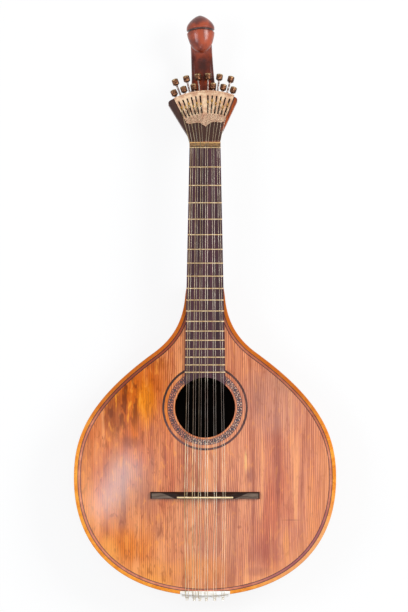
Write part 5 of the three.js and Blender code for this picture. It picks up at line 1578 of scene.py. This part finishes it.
def tuner_angle(i):
    step = STRING_COUNT // 2 - 1 - i if i < STRING_COUNT // 2 else i - STRING_COUNT // 2
    angle = MIDDLE_HALF_ANGLE + step * SCREW_ANGLE
    return -angle if i < STRING_COUNT // 2 else angle


def tuner_place(i):
    return FAN_PLACE @ Matrix.Rotation(-tuner_angle(i), 4, "Z")


def plate_outline():
    corner, scallop, tip = PLATE_CORNER, PLATE_SCALLOP, PLATE_TIP
    treble = [polar(PLATE_FOOT_RADIUS, PLATE_HALF_ANGLE), corner]
    treble += bent(corner, ((corner[0] + scallop[0]) / 2, scallop[1]), scallop)
    treble += bent(scallop, (scallop[0] / 2, scallop[1]), tip)
    top = arc(PLATE_TOP_RADIUS, -PLATE_HALF_ANGLE, PLATE_HALF_ANGLE, 48)
    return top + treble + mirrored(treble[:-1])


def slot_outline(i):
    """A slot with round ends, out along the ray of its screw."""
    low, high = (SLOT_RADII[0] + SLOT_HALF_WIDTH, SLOT_RADII[1] - SLOT_HALF_WIDTH)
    points = [(SLOT_HALF_WIDTH * math.cos(start + t), centre + SLOT_HALF_WIDTH * math.sin(start + t))
              for centre, start in ((high, 0), (low, math.pi)) for t in spaced(math.pi, 8)]
    turn = Matrix.Rotation(-tuner_angle(i), 2)
    return [tuple(turn @ Vector(p)) for p in points]


slots = [slot_outline(i) for i in range(STRING_COUNT)]
fan_shape = placed(FAN_PLACE, slab(plate_outline(), slots, PLATE_LOW, PLATE_TOP))
fan_plate = piece("fan_plate_pierced", fan_shape, plate_finish(), stands_for=["fan_plate"])
ease_edges(fan_plate, 0.2, above=40)
for rail in ("upper", "lower"):
    dress(f"fan_{rail}_rail", rail_brass, ease=0.3)
print("slots in the plate:", len(slots))

# %% [markdown]
# ## Screws, knobs and hooks
# Each string is tuned by a long screw that turns in place and drives a hook along its slot.
# The thread is real geometry: the skin's radius follows a sawtooth that climbs round the
# shaft. The knob is a drum with grooves and shallow flutes for the fingers. All twelve are
# made by the same function, with the knobs of six set further out.

# %% Screws and hooks
SCREW_LEVEL = -5
SCREW_RADIUS, THREAD_DEPTH, THREAD_PITCH = 1.2, 0.22, 0.6
THREAD_RADII, THREAD_STEP = (60.4, 91.1), 0.2
COLLAR, COLLAR_BEVEL = (91.35, 92.55, 1.9), 0.2  # foot, top and radius
KNOB_SINK = 0.5  # how far the shaft runs into the knob
KNOB_STARTS = {False: 99.1, True: 111.6}
LONG_SCREWS = (1, 3, 5, 6, 8, 10)
KNOB_PROFILE = (  # radius, distance from the knob's foot, share of the flute
    (1.25, 0.0, 0), (2.2, 0.0, 0), (2.4, 0.2, 0), (2.4, 0.8, 0), (2.3, 1.0, 0), (3.3, 1.05, 0),
    (3.9, 1.35, 0.4), (4.2, 1.9, 1), (4.2, 2.6, 1), (3.95, 2.75, 0.5), (3.95, 3.05, 0.5),
    (4.2, 3.2, 1), (4.2, 6.6, 1), (3.95, 6.75, 0.5), (3.95, 7.05, 0.5), (4.2, 7.2, 1),
    (4.2, 7.7, 1), (3.95, 8.2, 0.5), (3.4, 8.5, 0), (2.6, 8.8, 0), (1.6, 9.05, 0), (0, 9.2, 0))
RIM_RING = 13  # the profile's point where the paler rim starts
FLUTES, FLUTE_DEPTH, KNOB_SIDES = 8, 0.35, 48
UP_THE_RAY = Matrix.Rotation(-math.pi / 2, 4, "X")


def thread_ring(height, sides=14):
    ring = []
    for k, turn in enumerate(full_turn(sides)):
        share = (height / THREAD_PITCH - k / sides) % 1
        radius = SCREW_RADIUS - THREAD_DEPTH * abs(2 * share - 1)
        ring.append((radius * math.cos(turn), radius * math.sin(turn), height))
    return ring


def knob_ring(radius, height, share):
    ring = []
    for turn in full_turn(KNOB_SIDES):
        r = radius - share * FLUTE_DEPTH * (0.5 - 0.5 * math.cos(FLUTES * turn)) ** 3
        ring.append((r * math.cos(turn), r * math.sin(turn), height))
    return ring


def screw_shapes(i):
    """Thread, collar with the plain shaft, and knob, all standing up the ray."""
    low, high = THREAD_RADII
    steps = round((high - low) / THREAD_STEP)
    thread = skin([thread_ring(lerp(low, high, k / steps)) for k in range(steps + 1)])
    start = KNOB_STARTS[i in LONG_SCREWS]
    foot, top, radius = COLLAR
    plain, eased, end = SCREW_RADIUS, COLLAR_BEVEL, start + KNOB_SINK
    collar = turned([(0, high), (plain, high), (plain, foot), (radius - eased, foot),
                     (radius, foot + eased), (radius, top - eased), (radius - eased, top),
                     (plain, top), (plain, end), (0, end)])
    knob = skin([knob_ring(r, start + h, share) for r, h, share in KNOB_PROFILE])
    return [placed(UP_THE_RAY, shape) for shape in (thread, collar, knob)]


def screw_piece(i):
    number = f"{i + 1:02d}"
    shapes = screw_shapes(i)
    thread, collar, knob = (len(faces) for _, faces in shapes)
    below_rim = RIM_RING * KNOB_SIDES
    zones = [0] * (thread + collar) + [1] * below_rim + [2] * (knob - below_rim)
    at = tuner_place(i) @ Matrix.Translation((0, 0, SCREW_LEVEL))
    piece(f"screw_{number}", placed(at, joined(*shapes)), [screw_bronze, knob_bronze, knob_rim],
          rides=f"tuner_{number}", stands_for=[f"tuner_screw_{number}"],
          zones=zones)


for i in range(STRING_COUNT):
    screw_piece(i)
    dress(f"string_hook_{i + 1:02d}", hook_brass, ease=0.3)
print("screws:", STRING_COUNT)

# %% [markdown]
# ## Strings
# Six courses of two run from the hooks over the nut, the zero fret and the saddle to the
# pins. A string ends in a loop: it goes round the hook, comes back and is twisted round
# itself. On the guitar the loop and the twist travel with the hook while the rest stays;
# here each string is one fixed mesh that rides on no body. The
# thinner string of each low pair is plain steel and the thicker one is wound.

# %% Where the strings run
AT_NUT = (33.2, 2.5, (-1, -0.62, -0.24, 0.12, 0.6, 1))  # spread, width of a pair, shares
AT_BRIDGE = (49.2, 2.9, BRIDGE_SHARES)
STRING_DIAMETERS = (0.8, 0.35)
OCTAVE_SHARE = 0.6
WOUND_COURSES = 3
REST = 0.3  # the gap between a string and what it rests on
FRET_TOP = BOARD_TOP + 0.9
STEM_HALF_WIDTH, STEM_HALF_LENGTH = 0.65, 1.2
STEM_TRAVEL = (67.5, 88.55)  # how far out the hook can stand, and each hook's share of that
HOOK_SHARES = (0.58, 0.5, 0.64, 0.42, 0.55, 0.47, 0.6, 0.7, 0.52, 0.66, 0.4, 0.62)
TWIST_START, TWIST_LENGTH, TWIST_TURNS = 3.4, 6.5, 5
TWIST_STEPS = 10 * TWIST_TURNS
TWIST_CLEARANCE, TWIST_THINNER = 1.02, 0.8
PIN_RADIUS, PIN_END_LENGTH = 1.1, 2
LANE = 0.75  # the strings of a pair lie one and three lanes out on their pin
WIRE_SIDES, TWIST_SIDES = 8, 6
OVER_THE_TAIL = (  # inward from the edge, level, shares of the clearance outward and up
    (3.2, TAIL_SADDLE_TOP, 0, 1), (1.6, TAIL_SADDLE_TOP - 0.1, 0, 1), (0, 74.4, 0, 1),
    (0, 73.9, 0.6, 0), (0, 73.2, 1, 0))


def course_x(spread, pair, shares, i):
    return spread / 2 * shares[i // 2] + (1 if i % 2 else -1) * pair / 2


def string_radius(i):
    course = i // 2
    diameter = lerp(*STRING_DIAMETERS, course / 5)
    return diameter / 2 * (OCTAVE_SHARE if course < WOUND_COURSES and i % 2 else 1)


def half_turn(centre, radius, across, along):
    """Points of a half circle from centre - across to centre + across, bulging along."""
    return [centre - radius * math.cos(t) * across + radius * math.sin(t) * along
            for t in spaced(math.pi, 10)]


def hook_loop(i, clear):
    """Round the hook's stem and back to its foot."""
    side = -1 if tuner_angle(i) < 0 else 1
    around = STEM_HALF_WIDTH + clear
    middle = lerp(*STEM_TRAVEL, HOOK_SHARES[i])
    centre = Vector((0, middle + STEM_HALF_LENGTH - STEM_HALF_WIDTH, PLATE_TOP + clear))
    loop = half_turn(centre, around, Vector((side, 0, 0)), Vector((0, 1, 0)))
    loop.append(Vector((side * around, middle - STEM_HALF_LENGTH, PLATE_TOP + clear)))
    return [tuner_place(i) @ p for p in loop]


def tail_end(i, clear):
    """Over the bone strip, down the tail and round the pin. A pair uses two lanes."""
    side = 1 if i % 2 else -1
    pin_x = PIN_SPREAD / 2 * BRIDGE_SHARES[i // 2]
    x = pin_x + side * (PIN_RADIUS + clear)
    y = tail_face(pin_x) - LANE * (3 if i % 2 else 1)
    edge = tail_edge(x)
    line = [Vector((x, edge + inward - out * clear, level + up * clear))
            for inward, level, out, up in OVER_THE_TAIL]
    line.append(Vector((x, y, TAILPIECE_LEVELS[1] + clear)))
    line += half_turn(Vector((pin_x, y, PIN_LEVEL)), PIN_RADIUS + clear,
                      Vector((-side, 0, 0)), Vector((0, 0, -1)))
    return line + [Vector((2 * pin_x - x, y, PIN_LEVEL + PIN_END_LENGTH))]


print("strings at the nut:", [round(course_x(*AT_NUT, i), 1) for i in range(STRING_COUNT)])

# %% Strings
def twisted_end(start, strand_from, strand_to, radius):
    """The wire from a point to the main strand, and then in turns round that strand."""
    way = (strand_to - strand_from).normalized()
    across = way.orthogonal().normalized()
    up = way.cross(across)
    offset = start - strand_from - TWIST_START * way
    phase = math.atan2(offset.dot(up), offset.dot(across))
    out = 2 * radius * TWIST_CLEARANCE
    points = [start]
    for share in spaced(1, TWIST_STEPS):
        turn = phase + 2 * math.pi * TWIST_TURNS * share
        along = TWIST_START + TWIST_LENGTH * share
        points.append(strand_from + along * way + out * (math.cos(turn) * across + math.sin(turn) * up))
    return points


def string_piece(i):
    number = f"{i + 1:02d}"
    radius = string_radius(i)
    clear = REST + radius
    nut, bridge = course_x(*AT_NUT, i), course_x(*AT_BRIDGE, i)
    loop = hook_loop(i, clear)
    foot = loop[-1]
    zero = Vector((nut, ZERO_FRET_Y, FRET_TOP - camber(nut) + clear))
    on_saddle = Vector((bridge, 0, SADDLE_TOP - camber(bridge) + clear))
    twist_end = foot + (TWIST_START + TWIST_LENGTH + 1) * (zero - foot).normalized()
    to_zero = [twist_end.lerp(zero, k / 6) for k in range(6)]
    line = [*loop, *to_zero, zero, on_saddle, *tail_end(i, clear)]
    twist = twisted_end(loop[0], foot, zero, radius)
    wound = i // 2 < WOUND_COURSES and i % 2 == 0
    wire = joined(tube(line, radius, WIRE_SIDES),
                  tube(twist, radius * TWIST_THINNER, TWIST_SIDES))
    string = piece(f"string_{number}_wire", wire, wound_wire if wound else plain_steel, rides=None,
                   stands_for=[f"string_{number}"])
    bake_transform(string)


for i in range(STRING_COUNT):
    string_piece(i)
print("strings:", STRING_COUNT)
